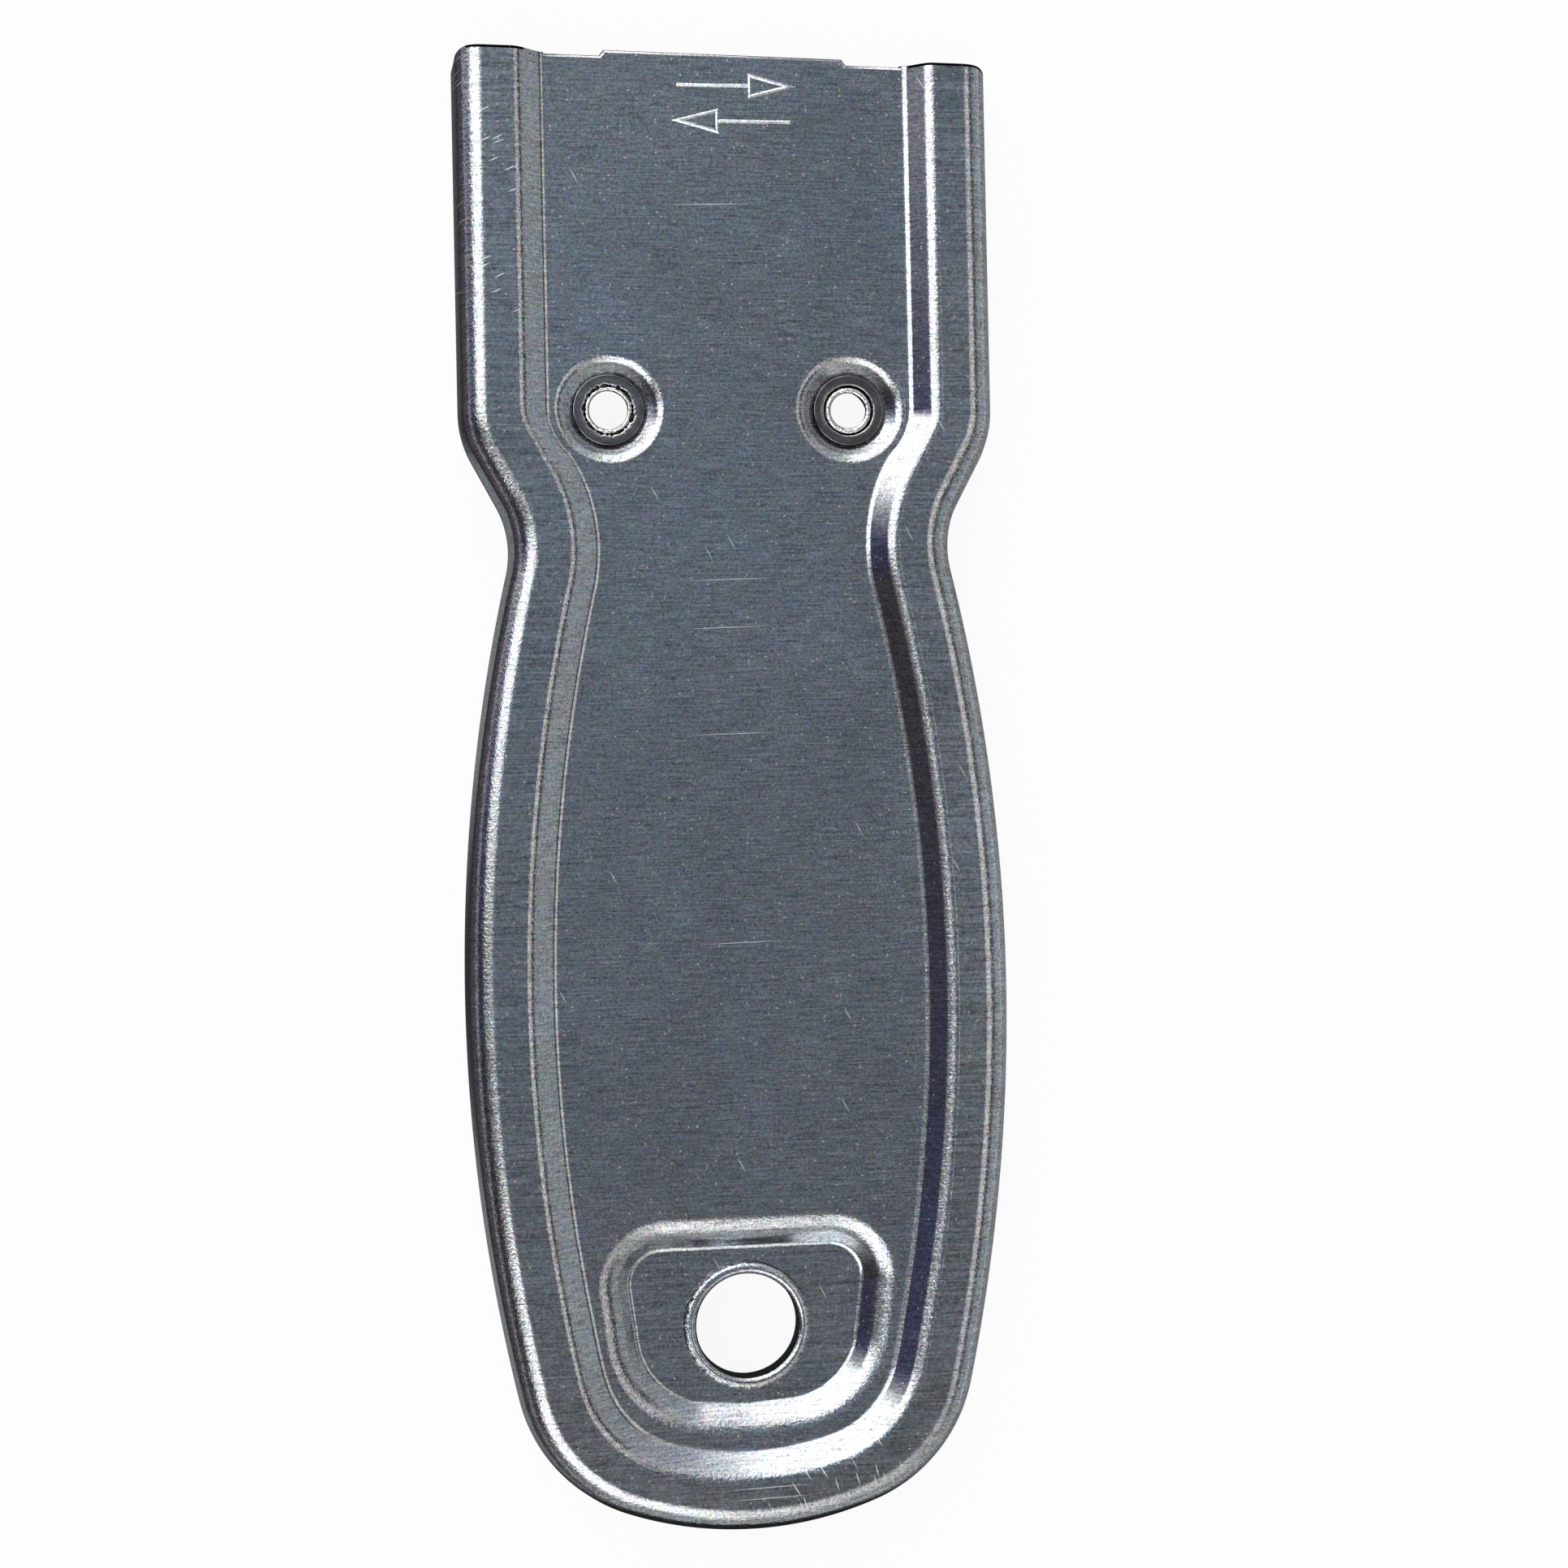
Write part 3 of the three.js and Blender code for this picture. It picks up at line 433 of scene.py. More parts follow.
def arrow_ridge(tail_x, base_x, tip_x, y, half_height=0.8):
    """Flat-sided ridge along a shaft and round an open head, as points, normals and faces.
    Its corners are a to k on the panel, and P to T on the crest."""
    ridge_width, ridge_height = 0.27, 0.062
    way = 1 if tip_x > tail_x else -1
    w = ridge_width / 2
    slope = math.atan2(half_height, abs(tip_x - base_x))
    nose, lift = w / math.sin(slope), w / math.cos(slope) + w * math.tan(slope)
    out = {"a": (tail_x, y - w), "b": (base_x - way * w, y - w),
           "c": (base_x - way * w, y - half_height - lift), "d": (tip_x + way * nose, y),
           "e": (base_x - way * w, y + half_height + lift), "f": (base_x - way * w, y + w),
           "g": (tail_x, y + w), "i": (base_x + way * w, y - half_height + lift),
           "j": (tip_x - way * nose, y), "k": (base_x + way * w, y + half_height - lift)}
    crest = {"P": (tail_x + way * w, y), "Q": (base_x, y), "R": (base_x, y - half_height),
             "S": (tip_x, y), "T": (base_x, y + half_height)}
    place = {key: (*at, panel_top) for key, at in out.items()}
    place.update({key: (*at, panel_top + ridge_height) for key, at in crest.items()})
    points, normals, faces = [], [], []
    for names in ("abQP", "QfgP", "gaP", "bcRQ", "QTef", "cdSR", "deTS", "RSji", "STkj", "RikTQ"):
        corner = [np.array(place[name]) for name in names]
        normal = np.cross(corner[1] - corner[0], corner[2] - corner[0])
        normal /= np.linalg.norm(normal)
        if normal[2] < 0:
            corner, normal = corner[::-1], -normal
        faces.append(tuple(range(len(points), len(points) + len(corner))))
        points += corner
        normals += [normal] * len(corner)
    return points, normals, faces


# Its front edge is cut back a little from the back half's, and is not quite square.
front_setback, tongue_back, front_skew, skew_start, skew_end = 0.5, 0.12, 0.018, 46, 56
front_skin, front_floor = pressed_half([], length / 2 - front_setback, tongue_back)
angle = np.linspace(0, 2 * math.pi, circle_steps, endpoint=False)
bore_line = np.column_stack([front_hole * np.cos(angle), hole_y + front_hole * np.sin(angle)])
front_skin.fill(front_floor, [front_skin.add_flat(bore_line, floor_top)])
for line in front_skin.place:
    near_mouth = np.clip((line[:, 1] - skew_start) / (skew_end - skew_start), 0, 1) ** 2
    line[:, 1] -= front_skew * line[:, 0] * near_mouth

# Two arrows are struck up from behind in the front panel as fine ridges: they show which way the
# blade leaves the carriage and which way it goes in.
arrows = [arrow_ridge(-3.66, 2.0, 5.06, 54.1), arrow_ridge(5.13, -0.57, -3.6, 51.36)]
front_half = sheet_mesh("front_half", front_skin, land_top, ridges=arrows)
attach(front_half, "handle")
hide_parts("front_shell")


class Nodes:
    """Short way to write the nodes of a material or of the world."""

    def __init__(self, owner):
        owner.use_nodes = True
        self.owner, self.tree = owner, owner.node_tree
        self.tree.nodes.clear()

    def add(self, kind, inputs=(), **settings):
        node = self.tree.nodes.new("ShaderNode" + kind)
        for key, value in settings.items():
            setattr(node, key, value)
        for key, value in dict(inputs).items():
            socket = node.inputs[key]
            if isinstance(value, bpy.types.NodeSocket):
                self.tree.links.new(value, socket)
            else:
                socket.default_value = value
        return node

    def math(self, operation, a, b=0.0, c=0.0):
        return self.add("Math", {0: a, 1: b, 2: c}, operation=operation).outputs[0]

    def product(self, a, b):
        return self.math("MULTIPLY", a, b)

    def times(self, colour, share):
        return self.add("VectorMath", {0: colour, 1: share}, operation="MULTIPLY").outputs[0]

    def plus(self, colour, other):
        return self.add("VectorMath", {0: colour, 1: other}, operation="ADD").outputs[0]

    def mix(self, share, colour, other):
        return self.add("MixRGB", {0: share, 1: colour, 2: other}).outputs[0]

    def object_place(self):
        return self.add("TexCoord").outputs["Object"]

    def noise(self, at, scale, detail, roughness, distortion=0.0):
        """Noise of one scale, or of a scale for each axis."""
        if isinstance(scale, tuple):
            at, scale = self.add("Mapping", {"Vector": at, "Scale": scale}).outputs[0], 1.0
        return self.add("TexNoise", {"Vector": at, "Scale": scale, "Detail": detail, "Roughness": roughness,
                                     "Distortion": distortion}).outputs[0]

    def spread(self, value, start, end, low=0.0, high=1.0):
        """low at the start and before it, high at the end and past it."""
        return self.add("MapRange", {0: value, 1: start, 2: end, 3: low, 4: high}).outputs[0]

    def ramp(self, value, *stops):
        node = self.add("ValToRGB", {0: value})
        points = node.color_ramp.elements
        while len(points) < len(stops):
            points.new(0.5)
        for point, (place, colour) in zip(points, stops):
            point.position = place
            point.color = (*colour, 1) if isinstance(colour, tuple) else (colour, colour, colour, 1)
        return node.outputs[0]

    def bump(self, height, distance):
        return self.add("Bump", {"Height": height, "Strength": 1.0, "Distance": distance}).outputs[0]

    def metal(self, tone, rough, bump):
        return self.finish(self.add("BsdfPrincipled", {
            "Base Color": tone, "Metallic": 1.0, "Roughness": rough, "Normal": bump}).outputs[0])

    def finish(self, surface, kind="Material"):
        self.add("Output" + kind, {"Surface": surface})
        return self.owner


def chosen_cells(nodes, cells, channel, share):
    """Mask of that share of the cells, picked by one channel of their random colour."""
    colour = nodes.add("SeparateColor", {0: cells.outputs["Color"]}).outputs[channel]
    return nodes.math("GREATER_THAN", colour, 1 - share)


def streaks(nodes, at, degrees, size, share, shift):
    """Mask of short scratches in one direction, each along the middle of a long, narrow cell;
    size is the cell's length and width in mm."""
    scale = (size[0] * MM, size[1] * MM, 0.04)
    turned_at = nodes.add("Mapping", {"Vector": at, "Rotation": (0, 0, math.radians(degrees)),
                                      "Scale": scale, "Location": (shift * MM, 0, 0)},
                          vector_type="TEXTURE").outputs[0]
    cells = nodes.add("TexVoronoi", {"Vector": turned_at, "Scale": 1.0}, voronoi_dimensions="2D")
    core = nodes.spread(cells.outputs["Distance"], 0.16, 0.05)
    return nodes.product(core, chosen_cells(nodes, cells, 0, share))


plate = Nodes(bpy.data.materials.new("zinc_plate"))
at = plate.object_place()
spot = plate.add("SeparateXYZ", {0: at}).outputs
drawn = plate.add("Attribute", attribute_name="drawn").outputs["Fac"]
rolling = plate.noise(at, (330, 8000, 1000), 3.0, 0.7)
peel = plate.noise(at, 4800.0, 2.0, 0.6)
mottle = plate.noise(at, 5200.0, 2.0, 0.75)
cloud = plate.noise(at, 130.0, 4.0, 0.6)
stain = plate.noise(at, 75.0, 6.0, 0.7, 0.8)

# Specks of one crystal each, painted bright as glints, and a few dark pits, painted near-black as their shade
cells = plate.add("TexVoronoi", {"Vector": at, "Scale": 3000.0})
glint_specks = plate.product(chosen_cells(plate, cells, 0, 0.1),
                       plate.spread(cells.outputs["Distance"], 0.4, 0.1))
tints = plate.add("VectorMath", {0: cells.outputs["Color"], 1: (0.2, 0.2, 0.2), 2: (0.9, 0.9, 0.9)},
                  operation="MULTIPLY_ADD").outputs[0]
# Pits painted near-black as their shade; they have no relief of their own.
cells = plate.add("TexVoronoi", {"Vector": at, "Scale": 120.0})
pit_shade = plate.product(chosen_cells(plate, cells, 1, 0.2),
                     plate.spread(cells.outputs["Distance"], 0.035, 0.02))

# Scratches anywhere, and denser short ones on the tail's land and on the head's left land
from_middle = plate.add("VectorMath", {0: at, 1: (0, -0.033, 0.005)}, operation="DISTANCE").outputs["Value"]
tail_side = plate.product(plate.math("LESS_THAN", spot["Y"], -0.046),
                          plate.math("GREATER_THAN", spot["X"], 0.001))
tail_side = plate.product(tail_side, plate.math("GREATER_THAN", from_middle, 0.0192))
head_side = plate.product(plate.math("GREATER_THAN", spot["Y"], 0.036),
                          plate.math("LESS_THAN", spot["X"], -0.0155))
marks = 0.0
for degrees, size, share, shift, where in (
        (62, (13, 0.3), 0.004, 0, 1.0), (-24, (9, 0.3), 0.004, 40, 1.0),
        (1.5, (30, 0.24), 0.015, 90, 1.0), (118, (6, 0.24), 0.007, 130, 1.0),
        (-58, (6, 0.5), 0.3, 10, tail_side), (-74, (5, 0.4), 0.3, 33, tail_side),
        (24, (4.2, 0.4), 0.3, 60, head_side), (-35, (5, 0.4), 0.06, 75, head_side)):
    scratch = plate.product(where, streaks(plate, at, degrees, size, share, shift))
    marks = plate.math("MAXIMUM", marks, scratch)
faint = plate.product(streaks(plate, at, 0.5, (16, 0.2), 0.12, 200), 0.24)

# The surface is smooth as rolled, and pebbled like orange peel where the metal was drawn.
relief = plate.product(peel, plate.math("MULTIPLY_ADD", drawn, 0.33, 0.04))
relief = plate.math("MULTIPLY_ADD", rolling, 0.03, relief)
tone = plate.ramp(stain, (0.36, (0.50, 0.51, 0.52)), (0.5, (0.53, 0.55, 0.57)), (0.6, (0.54, 0.57, 0.60)),
                  (0.7, (0.58, 0.63, 0.70)))
shade = plate.math("MULTIPLY_ADD", rolling, 1.9, plate.math("MULTIPLY_ADD", mottle, 2.2, -1.05))
# Where the metal was drawn, the colour follows the peel too, lighter and darker speck by speck: painted
# sparkle of highlight and shade on the pebbling.
painted_peel_sparkle = plate.product(plate.math("SUBTRACT", peel, 0.5), plate.product(drawn, 1.2))
shade = plate.math("ADD", shade, painted_peel_sparkle)
tone = plate.times(plate.times(tone, shade), tints)
# The painted glints of the specks and the real scratches lighten the colour; the pits darken it as painted
# shade.
glints_and_scratches = plate.math("MAXIMUM", plate.product(glint_specks, 0.6), plate.product(marks, 0.85))
glints_and_scratches = plate.math("MAXIMUM", glints_and_scratches, faint)
tone = plate.mix(glints_and_scratches, tone, (0.85, 0.86, 0.88, 1))
tone = plate.mix(pit_shade, tone, (0.03, 0.03, 0.035, 1))
rough = plate.math("MULTIPLY_ADD", rolling, 0.1, plate.math("MULTIPLY_ADD", cloud, 0.08, 0.06))
rough = plate.math("MAXIMUM", rough, plate.product(glints_and_scratches, 0.6))
zinc_plate = plate.metal(tone, rough, plate.bump(relief, 0.00007))
front_half.data.materials.append(zinc_plate)


# Back half of the handle
# The same blank and tool as the front half, turned over, with a slot for the button and three pairs
# of notches that the spring's tabs drop into. The sheet round its hang hole is drawn up into a
# collar, which is rolled outwards over the front half and is split and ragged from the rolling.

slot_half, slot_low, slot_high, slot_corner = 3.5, -15.3, 20.3, 2.5
notch_half, notch_reach, notch_corner, notches = 5.6, 1.7, 0.25, (-8, 4, 13)
slot_side = [(slot_half, slot_low, slot_corner)]
for y in notches:
    low, high = y - notch_reach, y + notch_reach
    slot_side += [(slot_half, low, notch_corner), (notch_half, low, notch_corner),
                  (notch_half, high, notch_corner), (slot_half, high, notch_corner)]
slot_side.append((slot_half, slot_high, slot_corner))
slot_line, _ = rounded(slot_side + [(-x, y, radius) for x, y, radius in slot_side[::-1]], 16)
back_skin, back_floor = pressed_half([slot_line], length / 2, panel_setback)


def ragged_edge(angle, waves, least):
    """Uneven edge at each angle round a circle, between -1 and 1."""
    edge = np.zeros(len(angle))
    for wave in waves:
        edge += random.uniform(least, 1) / wave ** 0.5 * np.sin(wave * angle + random.uniform(0, 6.3))
    return edge / np.abs(edge).max()


random.seed(4)
collar_root, collar_wall, collar_mid, collar_rim = 0.6, 0.4, -0.4, 0.6
lip_radius, lip_bend, lip_top, lip_turn, lip_wall = 4.86, 0.42, -1.5, math.radians(48), 0.3
collar_steps = 240
angle = np.linspace(0, 2 * math.pi, collar_steps, endpoint=False)
rough_side = np.clip(np.cos(angle + math.radians(15)), 0, 1) ** 0.7
torn = ragged_edge(angle, range(18, 95, 3), 0.3) * (0.04 + 0.15 * rough_side)

# (radius, height, tilt, drawn, thickness) from the floor of the recess to the edge of the lip
collar = [(hole_radius + collar_root + collar_rim, floor_top, 0, 0, sheet)]
for share in np.linspace(0, 1, 7):
    a = share * math.pi / 2
    collar.append((hole_radius + collar_root * (1 - math.sin(a)),
                   floor_top - collar_root * (1 - math.cos(a)),
                   -a, 0.6, sheet + (collar_wall - sheet) * share))
collar.append((hole_radius, collar_mid, -math.pi / 2, 0.6, collar_wall))
for share in np.linspace(0, 1, 8):
    a = share * math.pi / 2
    collar.append((hole_radius + lip_bend * (1 - math.cos(a)), lip_top + lip_bend * (1 - math.sin(a)),
                   -math.pi / 2 - a, 0.7, collar_wall + (lip_wall - collar_wall) * share))
crown = hole_radius + lip_bend
fall = lip_radius - crown
# On the rough side the lip's drawn value goes well past 1: it pebbles the lip more and paints more sparkle,
# highlight and shade, into its colour.
for share in (0.25, 0.5, 0.75, 1):
    a = share * lip_turn
    collar.append((crown + fall * math.sin(a) / math.sin(lip_turn) + torn * share ** 2,
                   lip_top + fall * 0.8 * (1 - math.cos(a)), -math.pi - a,
                   0.9 + (2.2 * rough_side + 0.5) * (share > 0.3), lip_wall - 0.04 * share))
collar_rings = back_skin.circle_lines(0, hole_y, collar, collar_steps)
back_skin.fill(back_floor, [collar_rings[0]])
back_half = sheet_mesh("back_half", back_skin, land_top, turned_over=True)
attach(back_half, "handle")
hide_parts("back_shell")
back_half.data.materials.append(zinc_plate)


# Two eyelets
# Tubular eyelets of bright plated steel, one through each pair of bosses. Each is one drawn tube
# with a flange at either end; the flange at the front ends in a thin lip round the end of the tube,
# and on the left one that lip has torn where it was rolled.

flange_r, flange_low, flange_top, rim_round = 2.7, 1.25, 1.6, 0.04
tube_r, tube_half, barrel, tear_depth, eyelet_steps = 2.05, 0.8, 1.84, 0.13, 180
curl_r, curl_low, curl_high = 1.8, 0.3, 0.17


def rolled_end(ragged, bore):
    """(radius, height, share of the tear, crumpling and painted highlight) from the flange's rim to the bore.
    """
    rim = [(flange_r - 0.1, flange_low, 0, 0), (flange_r - 0.02, flange_low + rim_round, 0, 0)]
    for a in np.radians([0, 35, 70]):
        rim.append((flange_r - rim_round * (1 - math.cos(a)),
                    flange_top - rim_round + rim_round * math.sin(a), 0, 0))
    # Across the flange, then down its torn edge and up the foot of the curl, as depths
    across = [(2.63, 0.001, 0, 0), (2.45, 0, 0, 0.06 * ragged), (2.25, 0.003, 0.1 * ragged, 0.2 * ragged),
              (2.1, 0.01, 0.3 * ragged, 0.25 * ragged), (2.04, 0.02, 0.6 * ragged, 0.3)]
    split = [(1.99, 0.045, 0.8 * ragged, 0.5), (1.955, 0.09, ragged, 0.5), (1.935, 0.16, ragged, 0.3),
             (1.93, 0.6, ragged, 0), (1.87, 0.7, 0.2 * ragged, 0), (1.81, 0.6, -0.5 * ragged, 0.3)]
    rim += [(r, flange_top - deep, share, crumpling_and_highlight) for r, deep, share, crumpling_and_highlight in across + split]
    mid = 0.5 * (curl_r + bore)
    for a in np.radians([0, 22, 44, 66, 90, 112, 134, 156, 175]):
        rim.append((mid + (curl_r - mid) * math.cos(a), flange_top - curl_low + curl_high * math.sin(a),
                    -0.5 * ragged * max(math.cos(a), 0), 1))
    return rim + [(bore + 0.005, flange_top - 0.4, 0, 0.3), (barrel, flange_top - 0.75, 0, 0)]


def turned(name, profile, x, y, tear):
    """Ring turned from (radius, height, tear share, crumpling and painted highlight) points that close on
    themselves.
    """
    angle = np.linspace(0, 2 * math.pi, len(tear), endpoint=False)
    verts, faces, n, m = [], [], len(tear), len(profile)
    for radius, height, share, _ in profile:
        r = radius + tear * share
        verts.append(np.column_stack([x + r * np.cos(angle), y + r * np.sin(angle),
                                      np.full(n, height + land_top)]))
    for k in range(m):
        for i in range(n):
            a, b, j = k * n, (k + 1) % m * n, (i + 1) % n
            faces.append((a + j, b + j, b + i, a + i))
    mesh = bpy.data.meshes.new(name)
    mesh.from_pydata((np.vstack(verts) * MM).tolist(), [], faces)
    crumple_and_highlight = np.repeat([point[3] for point in profile], n)
    mesh.attributes.new("crumple_and_highlight", "FLOAT", "POINT").data.foreach_set("value", crumple_and_highlight)
    mesh.shade_smooth()
    mesh.set_sharp_from_angle(angle=math.radians(38))
    return linked(name, mesh)


rolled = Nodes(bpy.data.materials.new("rolled_eyelet"))
at = rolled.object_place()
dents = rolled.noise(at, 3000.0, 2.0, 0.5)
grime = rolled.noise(at, 900.0, 4.0, 0.7)
crumple_and_highlight = rolled.add("Attribute", attribute_name="crumple_and_highlight").outputs["Fac"]
dents = rolled.product(dents, rolled.math("MULTIPLY_ADD", crumple_and_highlight, 0.9, 0.1))
tone = rolled.ramp(grime, (0.35, (0.18, 0.16, 0.155)), (0.5, (0.26, 0.24, 0.235)), (0.65, (0.38, 0.37, 0.36)))
# The curl and the torn lip are painted much brighter than the flange, a painted highlight; their crumpling is
# also real bump.
tone = rolled.mix(crumple_and_highlight, tone, (0.8, 0.8, 0.79, 1))
rolled_metal = rolled.metal(tone, rolled.spread(grime, 0.3, 0.7, 0.2, 0.08), rolled.bump(dents, 0.00012))

angle = np.linspace(0, 2 * math.pi, eyelet_steps, endpoint=False)
for name, node, side, ragged, bore in (("left_rolled_eyelet", "left_eyelet", -1, 1.0, 1.47),
                                       ("right_rolled_eyelet", "right_eyelet", 1, 0.15, 1.37)):
    random.seed(side + 12)
    tear = ragged_edge(angle, range(5, 48), 0.2) * tear_depth
    # The back end is a flange alone, and opens straight into the barrel.
    front_end, back_end = rolled_end(ragged, bore), rolled_end(0, bore)
    profile = front_end + [(max(r, barrel - 0.02), -z, 0, 0) for r, z, *_ in back_end[::-1] if r > 1.95]
    profile += [(tube_r, -tube_half, 0, 0), (tube_r, tube_half, 0, 0)]
    eyelet = turned(name, profile, side * boss_x, boss_y, tear)
    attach(eyelet, "handle")
    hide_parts(node)
    eyelet.data.materials.append(rolled_metal)


# Blade carriage and the spine of the blade
# Cold-rolled sheet, 0.5 mm, folded round the blade's spine into a C that is open on the right; its
# stem runs back between the eyelets. The spine is a softer strip folded over the back of the blade
# and crimped. Both are bare, oiled steel with rub marks along the way that they slide.


def dress(node, material):
    """Give a piece that comes from the CAD a material of its own."""
    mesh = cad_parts[node].data
    mesh.materials.clear()
    mesh.materials.append(material)


bare = Nodes(bpy.data.materials.new("bare_sheet"))
at = bare.object_place()
rolling = bare.noise(at, (6000, 260, 1200), 3.0, 0.6)
oil = bare.noise(at, 170.0, 5.0, 0.6, 0.5)
tone = bare.ramp(oil, (0.35, (0.43, 0.43, 0.43)), (0.5, (0.50, 0.51, 0.53)), (0.7, (0.55, 0.56, 0.58)))
bare_sheet = bare.metal(tone, bare.spread(oil, 0.3, 0.7, 0.22, 0.38), bare.bump(rolling, 0.000005))
dress("blade_carriage", bare_sheet)
dress("blade_spine", bare_sheet)


# Razor blade
# Single-edge blade of polished carbon steel, with a ground bevel 1.1 mm wide along its edge: the
# bevel shows the fine lines that the wheel left square to the edge.

bevel_y = 0.0546
razor = Nodes(bpy.data.materials.new("polished_blade"))
at = razor.object_place()
along = razor.add("SeparateXYZ", {0: at}).outputs["Y"]
ground = razor.spread(along, bevel_y - 0.00005, bevel_y + 0.00005)
wheel = razor.noise(at, (16000, 300, 300), 2.0, 0.6)
polish = razor.noise(at, (300, 9000, 300), 2.0, 0.5)
scored = razor.math("ADD", razor.product(wheel, ground), razor.product(polish, 0.3))
tone = razor.mix(ground, (0.62, 0.63, 0.64, 1), (0.70, 0.71, 0.72, 1))
rough = razor.spread(ground, 0.0, 1.0, 0.12, 0.28)
dress("razor_blade", razor.metal(tone, rough, razor.bump(scored, 0.000004)))


# Lock spring and its rivet
# Blued, tempered strip, bent at the tail and with a tab folded down on either side; a small bright
# rivet fixes its tail under the stem of the carriage. The button flattens it as it is pressed in,
# and the tabs lift out of their notches.

leaf_half, leaf_sheet, leaf_tail, leaf_high, leaf_low = 2.4, 0.3, -24.7, 4.2, 3.4
rivet_y, rivet_hole, rivet_steps, tail_corner = -21.5, 1.2, 40, 1.2
wing_start, wing_end, wing_out, wing_bend, tab_low = -9.4, -6.6, 5.3, 0.45, 1.5
bend_reach, bend_lift = 0.25, 0.25
leaf_bends = [(-18.5, leaf_high), (-16.5, leaf_high), (-11.8, leaf_low), (wing_start, leaf_low),
              (wing_end, leaf_low), (-2.5, leaf_low), (-1.0, 3.7)]

# The leaf has one line where it is straight, and before, on and past each bend.
leaf = Skin()
leaf_lines = []
for k, (y, z) in enumerate(leaf_bends):
    before, after = leaf_bends[max(k - 1, 0)], leaf_bends[min(k + 1, len(leaf_bends) - 1)]
    come = math.atan2(z - before[1], y - before[0]) if k else 0.0
    go = math.atan2(after[1] - z, after[0] - y) if k < len(leaf_bends) - 1 else come
    bent = abs(go - come) > 0.01
    for side in ((-1, 0, 1) if bent else (0,)):
        slope = come + (go - come) * (side + 1) / 2
        if side:
            height = z + side * bend_reach * math.tan(come if side < 0 else go)
        else:
            height = z + bent * bend_lift * bend_reach * (go - come)
        ends = [(x, y + side * bend_reach, height - land_top) for x in (-leaf_half, leaf_half)]
        leaf_lines.append(leaf.add(ends, [(0, -math.sin(slope), math.cos(slope))] * 2, 0, leaf_sheet))
for a, b in zip(leaf_lines, leaf_lines[1:]):
    leaf.faces.append((a[0], a[1], b[1], b[0]))

# The wings start from the leaf's sides between two of the lines, and end in the tabs.
root = next(k for k, place in enumerate(leaf.place) if abs(place[0][1] - wing_start) < 0.01)
wing = [(wing_out - wing_bend + wing_bend * math.sin(a), leaf_low - wing_bend * (1 - math.cos(a)), a)
        for a in np.radians([0, 22, 45, 68, 90])] + [(wing_out, tab_low, math.pi / 2)]
for side, corner in ((-1, 0), (1, 1)):
    last = (leaf_lines[root][corner], leaf_lines[root + 1][corner])
    for x, z, a in wing:
        pair = leaf.add([(side * x, y, z - land_top) for y in (wing_start, wing_end)],
                        [(side * math.sin(a), 0, math.cos(a))] * 2, 0, leaf_sheet)
        quad = (last[0], pair[0], pair[1], last[1])
        leaf.faces.append(quad if side > 0 else quad[::-1])
        last = pair

tail_arc, _ = arc((-leaf_half + tail_corner, leaf_tail + tail_corner), tail_corner, math.pi, 1.5 * math.pi, 6)
tail_line = leaf.add_flat(np.vstack([tail_arc, (tail_arc * (-1, 1))[::-1]]), leaf_high - land_top, leaf_sheet)
rivet_arc, _ = arc((0, rivet_y), rivet_hole, 0, 2 * math.pi * (1 - 1 / rivet_steps), rivet_steps - 1)
rivet_line = leaf.add_flat(rivet_arc, leaf_high - land_top, leaf_sheet)
leaf.fill(np.concatenate([[leaf_lines[0][0]], tail_line, [leaf_lines[0][1]]]), [rivet_line])
leaf_spring = sheet_mesh("leaf_spring", leaf, land_top)
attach(leaf_spring, "carriage")
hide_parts("lock_spring")
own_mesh(leaf_spring)

blued = Nodes(bpy.data.materials.new("blued_spring"))
at = blued.object_place()
temper = blued.noise(at, 240.0, 4.0, 0.6)
strip = blued.noise(at, (5200, 300, 900), 2.0, 0.6)
tone = blued.ramp(temper, (0.35, (0.20, 0.23, 0.33)), (0.5, (0.29, 0.30, 0.34)), (0.65, (0.37, 0.34, 0.31)))
leaf_spring.data.materials.append(blued.metal(tone, 0.3, blued.bump(strip, 0.000005)))
dress("spring_rivet", rolled_metal)


# Thumb button
# Moulded black nylon with ribs across it, in the slot of the back half. The mould's fine texture is
# worn smooth and a little greyer on the crests of the ribs.

nylon = Nodes(bpy.data.materials.new("button_nylon"))
at = nylon.object_place()
pores = nylon.noise(at, 7000.0, 3.0, 0.6)
wear = nylon.noise(at, 380.0, 4.0, 0.6)
crest = nylon.spread(nylon.add("SeparateXYZ", {0: at}).outputs["Z"], 0.00058, 0.00042)
rubbed = nylon.product(crest, wear)
bump = nylon.bump(nylon.product(pores, nylon.math("SUBTRACT", 1.0, rubbed)), 0.00003)
tone = nylon.ramp(rubbed, (0.2, (0.026, 0.026, 0.029)), (0.7, (0.055, 0.055, 0.058)))
rough = nylon.spread(rubbed, 0.1, 0.7, 0.55, 0.36)
dress("thumb_button", nylon.finish(nylon.add("BsdfPrincipled", {
    "Base Color": tone, "Roughness": rough, "Normal": bump}).outputs[0]))


# White sweep
# Matt white paper, 6 m across, that the tool lies on, spread out past the edges of the picture. To
# the camera and in the metal it glows an even white, and it scatters the rest of the light.


def flat_sheet(name, half_width, half_length, height):
    """Rectangle under the tool, in metres."""
    corners = [(-half_width, -half_length, height), (half_width, -half_length, height),
               (half_width, half_length, height), (-half_width, half_length, height)]
    mesh = bpy.data.meshes.new(name)
    mesh.from_pydata(corners, [], [(0, 1, 2, 3)])
    return linked(name, mesh)


